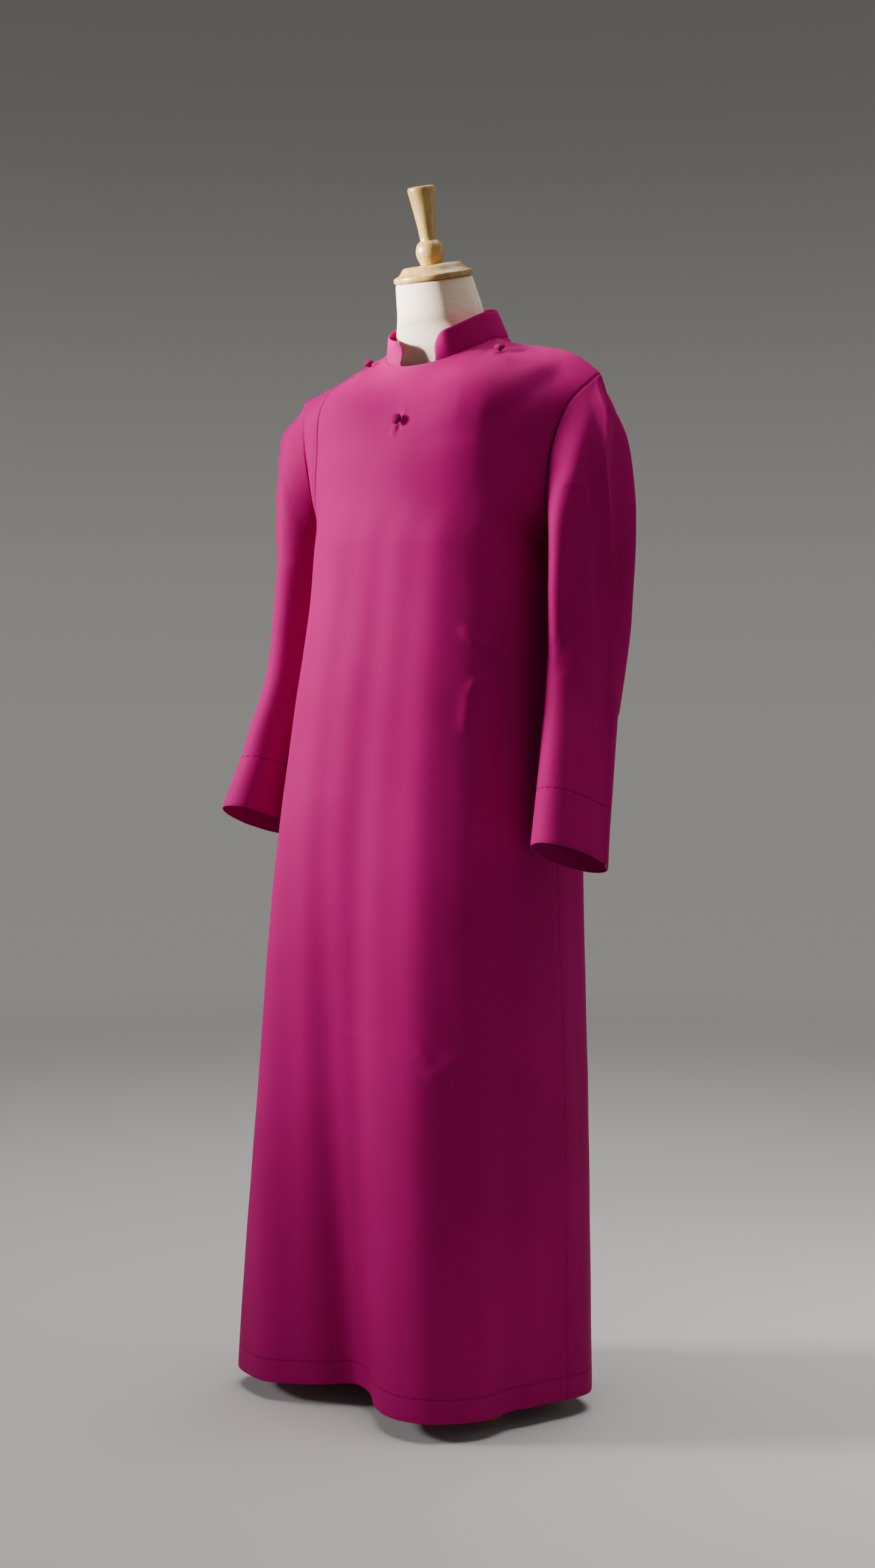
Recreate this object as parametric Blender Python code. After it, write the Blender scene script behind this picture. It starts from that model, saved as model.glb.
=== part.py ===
"""A bishop's-purple cassock worn by a limbless dress form on a low wooden stand.

Metres, +Z up. The wearer faces -Y, so the wearer's left is +X. The origin is on the floor, under
the middle of the stand. Every piece of cloth is a thin wall: an outer grid of points worked out
from the garment's sections, and the same grid moved inwards by the cloth's thickness.
"""
import math

import bmesh
import bpy
import numpy as np

# Cloth and seams
CLOTH = 0.0018
SEAM_GAP = 0.0003
HALF_GAP = SEAM_GAP / 2
LEAST_REACH = 0.5

# Skirt and body, as closed sections: where each lies, how wide and deep it is, how square
BODY_SECTIONS = (
    # height, centre_x, centre_y, half_width, half_depth, squareness
    (0.024, -0.018, -0.042, 0.230, 0.184, 2.1),
    (0.200, -0.016, -0.041, 0.226, 0.180, 2.2),
    (0.450, -0.013, -0.036, 0.216, 0.175, 2.4),
    (0.700, -0.010, -0.031, 0.200, 0.168, 2.7),
    (0.920, -0.008, -0.021, 0.184, 0.157, 2.7),
    (1.050, -0.007, -0.013, 0.172, 0.147, 2.7),
    (1.135, -0.007, -0.009, 0.168, 0.142, 2.7),
)
HEM = BODY_SECTIONS[0][0]
ARMPIT = BODY_SECTIONS[-1][0]

# Long soft folds of the skirt. Angles are in degrees from the wearer's left side, by way of the back
SKIRT_FOLDS = (
    # angle_at_hem, angle_at_top, depth_at_hem, half_width, top, hem_lift
    (206.0, 210.0, 0.030, 18.0, 1.00, 0.000),
    (261.0, 253.0, -0.066, 23.0, 0.80, 0.008),
    (309.0, 304.0, 0.038, 20.0, 1.08, 0.001),
    (347.0, 342.0, -0.012, 16.0, 0.60, 0.001),
    (12.0, 14.0, 0.010, 15.0, 0.60, 0.000),
    (42.0, 46.0, -0.016, 16.0, 0.75, 0.003),
    (66.0, 66.0, 0.018, 15.0, 0.90, 0.000),
    (93.0, 91.0, -0.030, 18.0, 0.85, 0.006),
    (122.0, 118.0, 0.024, 16.0, 0.95, 0.000),
    (150.0, 148.0, -0.018, 16.0, 0.70, 0.004),
    (174.0, 172.0, 0.006, 12.0, 0.60, 0.000),
)
FOLD_GROWTH = 1.25
BUMP_REACH = 1.6

# Yoke of the front and the back, above the armpit: one row for each section of the armhole
FRONT_YOKE = (
    # half_width, side_y, middle_y, side_z, rise, middle_z, turn
    (0.188, -0.046, -0.143, 1.185, 0.004, 1.190, 74.0),
    (0.199, -0.054, -0.138, 1.250, 0.014, 1.250, 64.0),
    (0.217, -0.040, -0.121, 1.310, 0.030, 1.312, 58.0),
)
BACK_YOKE = (
    (0.190, 0.050, 0.126, 1.185, 0.004, 1.190, 72.0),
    (0.203, 0.062, 0.124, 1.255, 0.012, 1.262, 62.0),
    (0.222, 0.046, 0.104, 1.312, 0.030, 1.350, 58.0),
)
YOKE_CENTRE_X = -0.004
YOKE_LEVELS = (-0.24, 0.0, 0.24, 0.50, 0.76, 1.0)
BELOW_ARMPIT = 0.080
SWELL_MIDDLE = 0.45
SWELL_HALF_WIDTH = 0.30
SHOULDER_HALF_WIDTH = 0.243
SHOULDER_Y = -0.004
SHOULDER_Z = 1.352
LEFT_SHOULDER_CROWN = 0.014
RIGHT_SHOULDER_CROWN = -0.002
CROWN_PLACE = 1.8
SHOULDER_HALF_GAP = 0.0003

# Hollows and swells of the upper front and back, in shares of the width and in levels
CHEST_FOLDS = (
    # facing, share, half_share, level, half_level, depth
    (-1, 0.885, 0.070, 1.56, 0.27, -0.014),
    (-1, 0.760, 0.080, 1.50, 0.31, 0.006),
    (-1, 0.150, 0.070, 1.55, 0.28, -0.007),
    (1, 0.500, 0.200, 1.45, 0.33, -0.006),
)

# Neckline and standing collar. Angles run from the centre front towards the wearer's left
NECK_HALF_WIDTH = 0.0815
NECK_HALF_DEPTH = 0.086
NECK_CENTRE_Y = -0.006
NECK_FRONT_Z = 1.371
NECK_SIDE_Z = 1.411
NECK_BACK_Z = 1.430
NECK_DIP = 1.3
NECK_SHARE = 0.40
COLLAR_HEIGHT = 0.034
COLLAR_RIGHT_DROP = 0.009
COLLAR_LEAN = 0.009
COLLAR_FORWARD = 0.0120
COLLAR_LEFT_END = 24.5
COLLAR_SLIT = -52.0
COLLAR_RIGHT_END = -13.0
COLLAR_CORNER = 12.0
COLLAR_CORNER_STEPS = (0.11, 0.30, 0.58, 1.0)
COLLAR_FRONT_SHARE = 0.46
COLLAR_INSET = 0.0005
COLLAR_RISE = 0.0008
SLIT_WIDTH = 0.7

# Where the left front's overlapping edge runs, as a share of the front's width
OVERLAP_EDGE = (
    # height or yoke level, share of the width from the wearer's right side seam
    (0.0, 0.085),
    (0.55, 0.075),
    (1.0, 0.070),
    (1.30, 0.085),
    (1.60, 0.143),
    (1.85, 0.228),
    (2.0, 0.2625),
)

# Sleeves, as closed rings on the wearer's left. The first ring is the armhole itself
SLEEVE_RINGS = (
    # x, y, z, half_depth, half_width, tilt, front_rise
    (0.2175, 0.001, 1.2150, 0.064, 0.0970, 64.0, 0.00),
    (0.2225, 0.002, 1.1750, 0.071, 0.0740, 55.0, 0.00),
    (0.2240, 0.001, 1.1150, 0.074, 0.0545, 42.0, 0.00),
    (0.2235, -0.004, 1.0350, 0.073, 0.0400, 22.0, 0.02),
    (0.2260, -0.020, 0.9350, 0.069, 0.0370, 2.0, 0.12),
    (0.2360, -0.048, 0.8500, 0.066, 0.0390, 0.0, 0.24),
    (0.2440, -0.072, 0.7830, 0.064, 0.0410, 0.0, 0.31),
    (0.2500, -0.090, 0.7270, 0.064, 0.0430, 0.0, 0.35),
)
SLEEVE_FOLDS = (
    # place, depth, half_width, top, bottom
    (0.455, 0.006, 0.050, 1.34, 0.88),
    (0.535, -0.017, 0.055, 1.33, 0.94),
    (0.660, 0.010, 0.110, 1.30, 0.91),
    (0.240, 0.007, 0.070, 1.22, 1.00),
    (0.310, -0.006, 0.050, 1.20, 0.96),
)
RIGHT_CUFF_LIFT = 0.036
LIFT_STARTS = 1.10
SLEEVE_SEAM_COLUMN = 3
FOLD_START = 7.0
RIGHT_CUFF_OUT = 0.004

# Cloth-covered buttons
BUTTON_PLACES = (
    # name, share of the front's width, level
    ("button_chest", 0.523, 1.675),
    ("button_left_shoulder", 0.735, 1.930),
    ("button_right_shoulder", 0.300, 1.895),
)
BUTTON_RADIUS = 0.0073
BUTTON_DOME = 0.0044
SHANK_RADIUS = 0.0022
SHANK_LENGTH = 0.0012
BUTTON_GAP = 0.0007
BUTTON_STEPS = 14

# Dress form: closed sections from the hips to the top of the neck
FORM_SECTIONS = (
    # height, centre_y, half_width, half_depth, squareness
    (0.600, -0.004, 0.140, 0.098, 2.2),
    (0.640, -0.004, 0.150, 0.106, 2.2),
    (0.780, -0.004, 0.158, 0.118, 2.2),
    (0.900, -0.006, 0.142, 0.106, 2.1),
    (1.000, -0.006, 0.130, 0.098, 2.1),
    (1.100, -0.006, 0.143, 0.108, 2.1),
    (1.200, -0.006, 0.162, 0.118, 2.2),
    (1.270, -0.006, 0.172, 0.108, 2.1),
    (1.320, -0.004, 0.176, 0.086, 2.0),
    (1.345, -0.003, 0.164, 0.068, 2.0),
    (1.366, -0.003, 0.139, 0.060, 2.0),
    (1.384, -0.008, 0.098, 0.055, 2.0),
    (1.402, -0.012, 0.073, 0.054, 2.0),
    (1.424, -0.0155, 0.064, 0.058, 2.0),
)
FORM_CENTRE_X = -0.002
FORM_CHEST = 1.300
FORM_SHOULDER = 1.322
NECK_TILT = math.radians(14.0)
NECK_ROOT = (0.0, -0.0165, 1.428)
NECK_TOP = (0.0, -0.0388, 1.4917)
NECK_ROOT_RADIUS = 0.0625
NECK_TOP_RADIUS = 0.0515

# Turned wooden neck cap and its finial, as outlines of radius and height above the neck
CAP_OUTLINE = (
    (0.0000, 0.0000),
    (0.0500, 0.0000),
    (0.0535, 0.0020),
    (0.0535, 0.0070),
    (0.0518, 0.0088),
    (0.0460, 0.0112),
    (0.0422, 0.0150),
    (0.0395, 0.0188),
    (0.0355, 0.0205),
    (0.0000, 0.0205),
)
FINIAL_OUTLINE = (
    (0.0000, 0.0208),
    (0.0148, 0.0208),
    (0.0152, 0.0235),
    (0.0176, 0.0290),
    (0.0188, 0.0360),
    (0.0180, 0.0430),
    (0.0150, 0.0490),
    (0.0110, 0.0522),
    (0.0110, 0.0570),
    (0.0135, 0.0820),
    (0.0170, 0.1070),
    (0.0186, 0.1190),
    (0.0178, 0.1225),
    (0.0140, 0.1240),
    (0.0000, 0.1240),
)

# Stand
POLE_RADIUS = 0.0140
HUB_RADIUS = 0.050
HUB_HEIGHT = 0.045
HUB_SHOULDER = 0.0315
HUB_TOP_RADIUS = 0.035
LEG_REACH = 0.172
LEG_WIDTH = 0.030
LEG_HEIGHT = 0.0165
LEG_ANGLES = (-36.0, 84.0, 204.0)

# Grid densities
FRONT_COLUMNS = (8, 12, 9)
BACK_COLUMNS = (9, 12, 8)
STRIP_COLUMNS = 7
NECK_STEP = 15.0
UNDERLAP_COLUMNS = 3
SKIRT_LEVELS = (0.0, 0.06, 0.17, 0.29, 0.41, 0.53, 0.65, 0.76, 0.86, 0.94, 1.0)
YOKE_ROWS = 9
SLEEVE_ROWS = 15
ROUND_STEPS = 24
POLE_STEPS = 16
TORSO_ROWS = 13
SHOULDER_ROWS = 7

UP = np.array((0.0, 0.0, 1.0))
FORWARD = np.array((0.0, -1.0, 0.0))
LEFTWARD = np.array((1.0, 0.0, 0.0))


def smooth_between(edges, values, at):
    """A smooth curve through the values, met at the edges: a cubic with averaged slopes."""
    edges = np.asarray(edges, float)
    values = np.asarray(values, float)
    index = int(np.clip(np.searchsorted(edges, at) - 1, 0, len(edges) - 2))
    span = edges[index + 1] - edges[index]
    share = np.clip((at - edges[index]) / span, 0.0, 1.0)

    def slope(k):
        if k == 0:
            return (values[1] - values[0]) / (edges[1] - edges[0])
        if k == len(edges) - 1:
            return (values[-1] - values[-2]) / (edges[-1] - edges[-2])
        return (values[k + 1] - values[k - 1]) / (edges[k + 1] - edges[k - 1])

    rise = 3 * share ** 2 - 2 * share ** 3
    lead = share ** 3 - 2 * share ** 2 + share
    tail = share ** 3 - share ** 2
    start, end = values[index], values[index + 1]
    return start + (end - start) * rise + (slope(index) * lead + slope(index + 1) * tail) * span


def bump(distance, half_width):
    """One at the middle of a fold, falling smoothly to nothing at its edges."""
    share = min(abs(distance) / (BUMP_REACH * half_width), 1.0)
    return (1 - share ** 2) ** 2


def turn_between(angle, other):
    return (angle - other + 180.0) % 360.0 - 180.0


def body_point(angle, height):
    """The outer cloth at an angle round the body, from the hem up to the armpit."""
    table = np.array(BODY_SECTIONS)
    at = np.clip(height, HEM, ARMPIT)
    centre_x, centre_y, width, depth, power = smooth_between(table[:, 0], table[:, 1:], at)
    turn = math.radians(angle)
    across = abs(math.cos(turn) / width) ** power
    along = abs(math.sin(turn) / depth) ** power
    radius = (across + along) ** (-1.0 / power)
    lift = 0.0
    for hem_angle, top_angle, fold_depth, half_width, top, hem_lift in SKIRT_FOLDS:
        if at >= top:
            continue
        share = (top - at) / (top - HEM)
        middle = top_angle + (hem_angle - top_angle) * share
        shape = bump(turn_between(angle, middle), half_width)
        radius += fold_depth * shape * share ** FOLD_GROWTH
        lift += hem_lift * shape * share ** 3
    return np.array((centre_x + radius * math.cos(turn), centre_y + radius * math.sin(turn), at + lift))


def neck_point(angle):
    """The neckline, at an angle from the centre front towards the wearer's left."""
    turn = math.radians(angle)
    front = math.cos(turn)
    if front > 0:
        height = NECK_SIDE_Z + (NECK_FRONT_Z - NECK_SIDE_Z) * front ** NECK_DIP
    else:
        height = NECK_SIDE_Z + (NECK_BACK_Z - NECK_SIDE_Z) * (-front) ** NECK_DIP
    return np.array((NECK_HALF_WIDTH * math.sin(turn), NECK_CENTRE_Y - NECK_HALF_DEPTH * front, height))


def shoulder_and_neck(share, facing):
    """The top edge of the front or the back: shoulder seam, neckline, shoulder seam."""
    across = 2 * share - 1
    side = math.copysign(1.0, across)
    reach = abs(across)
    if reach <= NECK_SHARE:
        turn = 90.0 * across / NECK_SHARE
        return neck_point(turn if facing < 0 else 180.0 - turn)
    slide = (reach - NECK_SHARE) / (1 - NECK_SHARE)
    start = neck_point(90.0 * side)
    tip = np.array((side * SHOULDER_HALF_WIDTH + YOKE_CENTRE_X, SHOULDER_Y, SHOULDER_Z))
    height = LEFT_SHOULDER_CROWN if side > 0 else RIGHT_SHOULDER_CROWN
    crown = height * math.sin(math.pi * slide ** CROWN_PLACE)
    return start + (tip - start) * slide + UP * crown


def yoke_row(row, share):
    half_width, side_y, middle_y, side_z, rise, middle_z, turn = row
    across = 2 * share - 1
    widest = math.radians(turn)
    swing = across * widest
    x = YOKE_CENTRE_X + half_width * math.sin(swing) / math.sin(widest)
    y = side_y + (middle_y - side_y) * (math.cos(swing) - math.cos(widest)) / (1 - math.cos(widest))
    lift = rise * bump(abs(across) - SWELL_MIDDLE, SWELL_HALF_WIDTH)
    z = side_z + (middle_z - side_z) * (1 - across ** 2) + lift
    return np.array((x, y, z))


def panel_point(share, level, facing):
    """A point of the front (facing -1) or the back (facing +1).

    Level 0 is the hem, 1 the armpit, 2 the shoulder and neck. Share 0 is the wearer's right side
    seam and 1 the left one.
    """
    angle = 180.0 + 180.0 * share if facing < 0 else 180.0 - 180.0 * share
    if level <= 1:
        return body_point(angle, HEM + (ARMPIT - HEM) * level)
    yoke = FRONT_YOKE if facing < 0 else BACK_YOKE
    rows = [body_point(angle, ARMPIT - BELOW_ARMPIT), body_point(angle, ARMPIT)]
    rows += [yoke_row(row, share) for row in yoke]
    rows.append(shoulder_and_neck(share, facing))
    return smooth_between(YOKE_LEVELS, rows, level - 1)


def chest_fold(share, level, facing):
    """How far the cloth dips or swells at a place on the chest or the upper back."""
    total = 0.0
    for side, middle, half_share, height, half_level, depth in CHEST_FOLDS:
        if side == facing:
            total += depth * bump(share - middle, half_share) * bump(level - height, half_level)
    return total


def surface_normals(points, closed=False):
    """Outward normals of a grid of points, rows upwards and columns turning about the body."""
    points = np.asarray(points)
    if closed:
        wrapped = np.concatenate((points[:, -1:], points, points[:, :1]), axis=1)
        across = wrapped[:, 2:] - wrapped[:, :-2]
    else:
        across = np.gradient(points, axis=1)
    upwards = np.gradient(points, axis=0)
    normals = np.cross(across, upwards)
    return normals / np.linalg.norm(normals, axis=2, keepdims=True)


def kept_clear(inward, normal, toward):
    """The inward direction at a seam, without the part of it that reaches into the next piece."""
    moved = inward - toward * max(float(np.dot(inward, toward)), 0.0)
    return moved / max(float(-np.dot(moved, normal)), LEAST_REACH)


def plain_material(name, colour, roughness):
    material = bpy.data.materials.new(name)
    material.use_nodes = True
    shader = material.node_tree.nodes["Principled BSDF"]
    shader.inputs["Base Color"].default_value = (*colour, 1.0)
    shader.inputs["Roughness"].default_value = roughness
    shader.inputs["Metallic"].default_value = 0.0
    return material


def add_object(name, build, material):
    mesh = bpy.data.meshes.new(name)
    build.normal_update()
    build.to_mesh(mesh)
    build.free()
    mesh.materials.append(material)
    mesh.shade_smooth()
    mesh.set_sharp_from_angle(angle=math.radians(50))
    bpy.context.scene.collection.objects.link(bpy.data.objects.new(name, mesh))


def wall(name, outer, material, normals=None, seams=None, thickness=CLOTH, sink=0.0):
    """A thin closed wall: the outer grid, the same grid moved inwards, and the rim between them."""
    outer = np.asarray(outer, float)
    if normals is None:
        normals = surface_normals(outer)
    offsets = -normals
    seams = seams or {}
    edges = {"top": (-1, slice(None)), "bottom": (0, slice(None)),
             "right": (slice(None), 0), "left": (slice(None), -1)}
    for edge, toward in seams.items():
        where = edges[edge]
        first, last = (toward if isinstance(toward, tuple) else (toward, None))
        rows = range(len(offsets[where])) if last is None else range(*last)
        for k in rows:
            offset = offsets[where][k]
            offsets[where][k] = kept_clear(offset, normals[where][k], first)
    sink = np.broadcast_to(sink, outer.shape[:2])[..., None]
    outside = outer + offsets * sink
    inside = outer + offsets * (sink + thickness)
    build = bmesh.new()
    skins = []
    for skin in (outside, inside):
        skins.append([[build.verts.new(point) for point in row] for row in skin])
    front, back = skins
    rows, columns = len(front), len(front[0])
    for i in range(rows - 1):
        for j in range(columns - 1):
            build.faces.new((front[i][j], front[i][j + 1], front[i + 1][j + 1], front[i + 1][j]))
            build.faces.new((back[i][j], back[i + 1][j], back[i + 1][j + 1], back[i][j + 1]))
    for j in range(columns - 1):
        build.faces.new((front[0][j], back[0][j], back[0][j + 1], front[0][j + 1]))
        build.faces.new((front[-1][j], front[-1][j + 1], back[-1][j + 1], back[-1][j]))
    for i in range(rows - 1):
        build.faces.new((front[i][0], front[i + 1][0], back[i + 1][0], back[i][0]))
        build.faces.new((front[i][-1], back[i][-1], back[i + 1][-1], front[i + 1][-1]))
    add_object(name, build, material)


def pull_back(grid, edge, gap):
    """Moves one edge of a grid back along the cloth, to leave half a seam's gap."""
    if edge == "top":
        step = grid[-2] - grid[-1]
        grid[-1] += gap * step / np.linalg.norm(step, axis=1, keepdims=True)
    elif edge == "bottom":
        step = grid[1] - grid[0]
        grid[0] += gap * step / np.linalg.norm(step, axis=1, keepdims=True)
    elif edge == "right":
        step = grid[:, 1] - grid[:, 0]
        grid[:, 0] += gap * step / np.linalg.norm(step, axis=1, keepdims=True)
    else:
        step = grid[:, -2] - grid[:, -1]
        grid[:, -1] += gap * step / np.linalg.norm(step, axis=1, keepdims=True)


def body_levels():
    yoke = [1 + (k + 1) / YOKE_ROWS for k in range(YOKE_ROWS)]
    return list(SKIRT_LEVELS) + yoke


def overlap_share(level):
    table = np.array(OVERLAP_EDGE)
    return float(smooth_between(table[:, 0], table[:, 1], level))


def panel_grid(levels, shares_at, facing):
    """The outer grid of a body panel, with the chest's folds moved out or in along the normals."""
    plain = np.array([[panel_point(s, level, facing) for s in shares_at(level)] for level in levels])
    if facing > 0:
        normals = -surface_normals(plain)
    else:
        normals = surface_normals(plain)
    depths = np.array([[chest_fold(s, level, facing) for s in shares_at(level)] for level in levels])
    return plain + normals * depths[..., None]


def spaced(stops, columns):
    """Columns spaced evenly between each two stops."""
    runs = [np.linspace(a, b, n, endpoint=False) for a, b, n in zip(stops, stops[1:], columns)]
    return np.concatenate(runs + [stops[-1:]])


def front_shares(level):
    neck = (1 - NECK_SHARE) / 2
    return spaced((overlap_share(level), neck, 1 - neck, 1.0), FRONT_COLUMNS)


def under_shares(level):
    start = overlap_share(level)
    strip = np.linspace(0.0, start, STRIP_COLUMNS, endpoint=False)
    return np.concatenate((strip, front_shares(level)[:UNDERLAP_COLUMNS + 1]))


def back_shares(level):
    neck = (1 - NECK_SHARE) / 2
    return spaced((1.0, 1 - neck, neck, 0.0), BACK_COLUMNS)


def yoke_edge(levels):
    """Which rows of a panel lie on the armhole."""
    start = next(k for k, level in enumerate(levels) if level > 1)
    return (start, len(levels))


def make_body(cloth):
    levels = body_levels()
    armhole = yoke_edge(levels)
    backward = -FORWARD

    front = panel_grid(levels, front_shares, -1)
    pull_back(front, "left", HALF_GAP)
    pull_back(front, "top", SHOULDER_HALF_GAP)
    wall("front_left_overlap", front, cloth, seams={"top": backward, "left": (LEFTWARD, armhole)})

    under = panel_grid(levels, under_shares, -1)
    pull_back(under, "right", HALF_GAP)
    pull_back(under, "top", SHOULDER_HALF_GAP)
    ramp = np.clip(np.arange(STRIP_COLUMNS + UNDERLAP_COLUMNS + 1) / (STRIP_COLUMNS - 1), 0.0, 1.0)
    wall("front_right_underlap", under, cloth, sink=ramp * (CLOTH + SEAM_GAP),
         seams={"top": backward, "right": (-LEFTWARD, armhole)})

    back = panel_grid(levels, back_shares, 1)
    for edge, gap in (("right", HALF_GAP), ("left", HALF_GAP), ("top", SHOULDER_HALF_GAP)):
        pull_back(back, edge, gap)
    wall("back_panel", back, cloth,
         seams={"top": FORWARD, "right": (LEFTWARD, armhole), "left": (-LEFTWARD, armhole)})


def armhole_ring(place, side):
    """The armhole: from the armpit up the front to the shoulder, and down the back."""
    facing, climb = (-1, 2 * place) if place <= 0.5 else (1, 2 - 2 * place)
    share = 1.0 if side > 0 else 0.0
    return panel_point(share, 1 + climb, facing)


def sleeve_ring(row, place, side):
    x, y, z, half_depth, half_width, tilt, front_rise = row
    turn = 2 * math.pi * place
    lean = math.radians(tilt)
    outward = np.array((side * math.cos(lean), 0.0, math.sin(lean)))
    lowest = SLEEVE_RINGS[-1][2]
    lift = RIGHT_CUFF_LIFT * max(0.0, (LIFT_STARTS - z) / (LIFT_STARTS - lowest)) if side < 0 else 0.0
    out = side * (x + (RIGHT_CUFF_OUT * lift / RIGHT_CUFF_LIFT if side < 0 else 0.0))
    centre = np.array((out + YOKE_CENTRE_X, y, z + lift))
    ahead = (FORWARD + UP * front_rise) * half_depth * math.sin(turn)
    return centre - outward * half_width * math.cos(turn) + ahead


def sleeve_point(place, level, side):
    """A point of a sleeve. Level 0 is the cuff and 1 the armhole; place 0.5 is the outer line."""
    rings = [armhole_ring(place, side)]
    rings += [sleeve_ring(row, place, side) for row in SLEEVE_RINGS]
    rings.reverse()
    stations = np.linspace(0.0, 1.0, len(rings))
    return smooth_between(stations, rings, level)


def sleeve_fold(place, height):
    depth = 0.0
    for middle, fold, half_width, top, bottom in SLEEVE_FOLDS:
        if bottom < height < top:
            share = (height - bottom) / (top - bottom)
            depth += fold * bump(place - middle, half_width) * min(1.0, 4 * share * (1 - share) + 0.15)
    return depth


def sleeve_grid(side):
    """The whole sleeve, cuff to armhole, and its outward normals, with its columns going round."""
    columns = 2 * YOKE_ROWS
    places = np.arange(columns) / columns
    levels = np.linspace(0.0, 1.0, SLEEVE_ROWS + 1)
    plain = np.array([[sleeve_point(p, level, side) for p in places] for level in levels])
    normals = surface_normals(plain, closed=True) * side
    depths = np.array([[sleeve_fold(p, point[2]) for p, point in zip(places, row)] for row in plain])
    depths *= np.minimum(1.0, (1 - levels) * FOLD_START)[:, None]
    grid = plain + normals * depths[..., None]
    return grid, surface_normals(grid, closed=True) * side


def make_sleeves(cloth):
    columns = 2 * YOKE_ROWS
    for side, word in ((1, "left"), (-1, "right")):
        grid, normals = sleeve_grid(side)
        pieces = (("top", SLEEVE_SEAM_COLUMN, columns - SLEEVE_SEAM_COLUMN),
                  ("under", -SLEEVE_SEAM_COLUMN, SLEEVE_SEAM_COLUMN))
        for part, start, end in pieces:
            order = [k % columns for k in range(start, end + 1)]
            if side < 0:
                order.reverse()
            piece = grid[:, order].copy()
            for edge in ("right", "left", "top"):
                pull_back(piece, edge, HALF_GAP)
            wall(f"sleeve_{word}_{part}", piece, cloth, normals=normals[:, order],
                 seams={"top": -side * LEFTWARD})


def collar_size(angle, start, end):
    """A standing collar's height and how far it leans forward, both less towards an open front end."""
    share = min(abs(angle - start), abs(angle - end), COLLAR_CORNER) / COLLAR_CORNER
    rounded = COLLAR_FRONT_SHARE + (1 - COLLAR_FRONT_SHARE) * math.sqrt(1 - (1 - share) ** 2)
    whole = COLLAR_HEIGHT - COLLAR_RIGHT_DROP * max(0.0, -math.sin(math.radians(angle)))
    forward = COLLAR_FORWARD * (COLLAR_FRONT_SHARE + (1 - COLLAR_FRONT_SHARE) * share)
    return whole * rounded, forward


def collar_angles(first, last, rounded):
    """The neckline's own columns between the ends, with finer ones at a rounded end."""
    angles = [first, last]
    angle = NECK_STEP * math.ceil(first / NECK_STEP + 0.1)
    while angle < last - 1.0:
        angles.append(angle)
        angle += NECK_STEP
    for end, away in rounded:
        angles += [end + away * COLLAR_CORNER * share for share in COLLAR_CORNER_STEPS]
    return sorted(angles)


def collar_grid(first, last, round_first, round_last):
    rounded = []
    if round_first is not None:
        rounded.append((first, 1.0))
    if round_last is not None:
        rounded.append((last, -1.0))
    angles = collar_angles(first, last, rounded)
    grid = []
    for rise in (0.0, 0.5, 1.0):
        row = []
        for angle in angles:
            base = neck_point(angle)
            centre = np.array((0.0, NECK_CENTRE_Y, base[2]))
            inward = (centre - base) / np.linalg.norm(centre - base)
            start = round_first if round_first is not None else first - 360
            end = round_last if round_last is not None else last + 360
            height, forward = collar_size(angle, start, end)
            lean = inward * (COLLAR_INSET + COLLAR_LEAN * rise) + FORWARD * forward * rise
            row.append(base + UP * (COLLAR_RISE + rise * height) + lean)
        grid.append(row)
    return np.array(grid)


def make_collar(cloth):
    main = collar_grid(COLLAR_LEFT_END, 360.0 + COLLAR_SLIT, COLLAR_LEFT_END, None)
    wall("collar_band", main, cloth)
    short = collar_grid(360.0 + COLLAR_SLIT + SLIT_WIDTH, 360.0 + COLLAR_RIGHT_END, None,
                        360.0 + COLLAR_RIGHT_END)
    wall("collar_right_end", short, cloth)


def face_outwards(build):
    bmesh.ops.recalc_face_normals(build, faces=build.faces)
    if build.calc_volume(signed=True) < 0:
        bmesh.ops.reverse_faces(build, faces=build.faces)


def spun(outline, steps):
    """A closed solid turned round Z from an outline of radius and height, from foot to top."""
    build = bmesh.new()
    chain = [build.verts.new((radius, 0.0, height)) for radius, height in outline]
    edges = [build.edges.new(pair) for pair in zip(chain, chain[1:])]
    bmesh.ops.spin(build, geom=chain + edges, cent=(0, 0, 0), axis=(0, 0, 1), angle=2 * math.pi,
                   steps=steps, use_merge=True, use_duplicate=False)
    bmesh.ops.remove_doubles(build, verts=build.verts, dist=1e-6)
    face_outwards(build)
    return build


def place_along(build, origin, axis):
    """Stands a turned solid on a point, along an axis."""
    axis = np.asarray(axis, float) / np.linalg.norm(axis)
    aside = np.cross(UP, axis)
    if np.linalg.norm(aside) < 1e-6:
        aside = LEFTWARD
    aside = aside / np.linalg.norm(aside)
    ahead = np.cross(axis, aside)
    for vert in build.verts:
        x, y, z = vert.co
        vert.co = origin + aside * x + ahead * y + axis * z


def button_outline():
    outline = [(0.0, 0.0), (SHANK_RADIUS, 0.0), (SHANK_RADIUS, SHANK_LENGTH)]
    for step in range(1, 7):
        turn = math.pi * step / 7
        radius = BUTTON_RADIUS * math.sin(turn)
        height = SHANK_LENGTH + BUTTON_DOME * (1 - math.cos(turn))
        outline.append((max(radius, 1.5 * SHANK_RADIUS), height))
    outline.append((0.0, SHANK_LENGTH + 2 * BUTTON_DOME))
    return outline


def front_frame(share, level):
    """A point of the finished front and the direction that faces out of it."""
    step = 0.01
    across = panel_point(share + step, level, -1) - panel_point(share - step, level, -1)
    upwards = panel_point(share, level + step, -1) - panel_point(share, level - step, -1)
    normal = np.cross(across, upwards)
    normal /= np.linalg.norm(normal)
    return panel_point(share, level, -1) + normal * chest_fold(share, level, -1), normal


def make_buttons(cloth):
    for name, share, level in BUTTON_PLACES:
        point, normal = front_frame(share, level)
        build = spun(button_outline(), BUTTON_STEPS)
        place_along(build, point + normal * BUTTON_GAP, normal)
        add_object(name, build, cloth)


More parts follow.
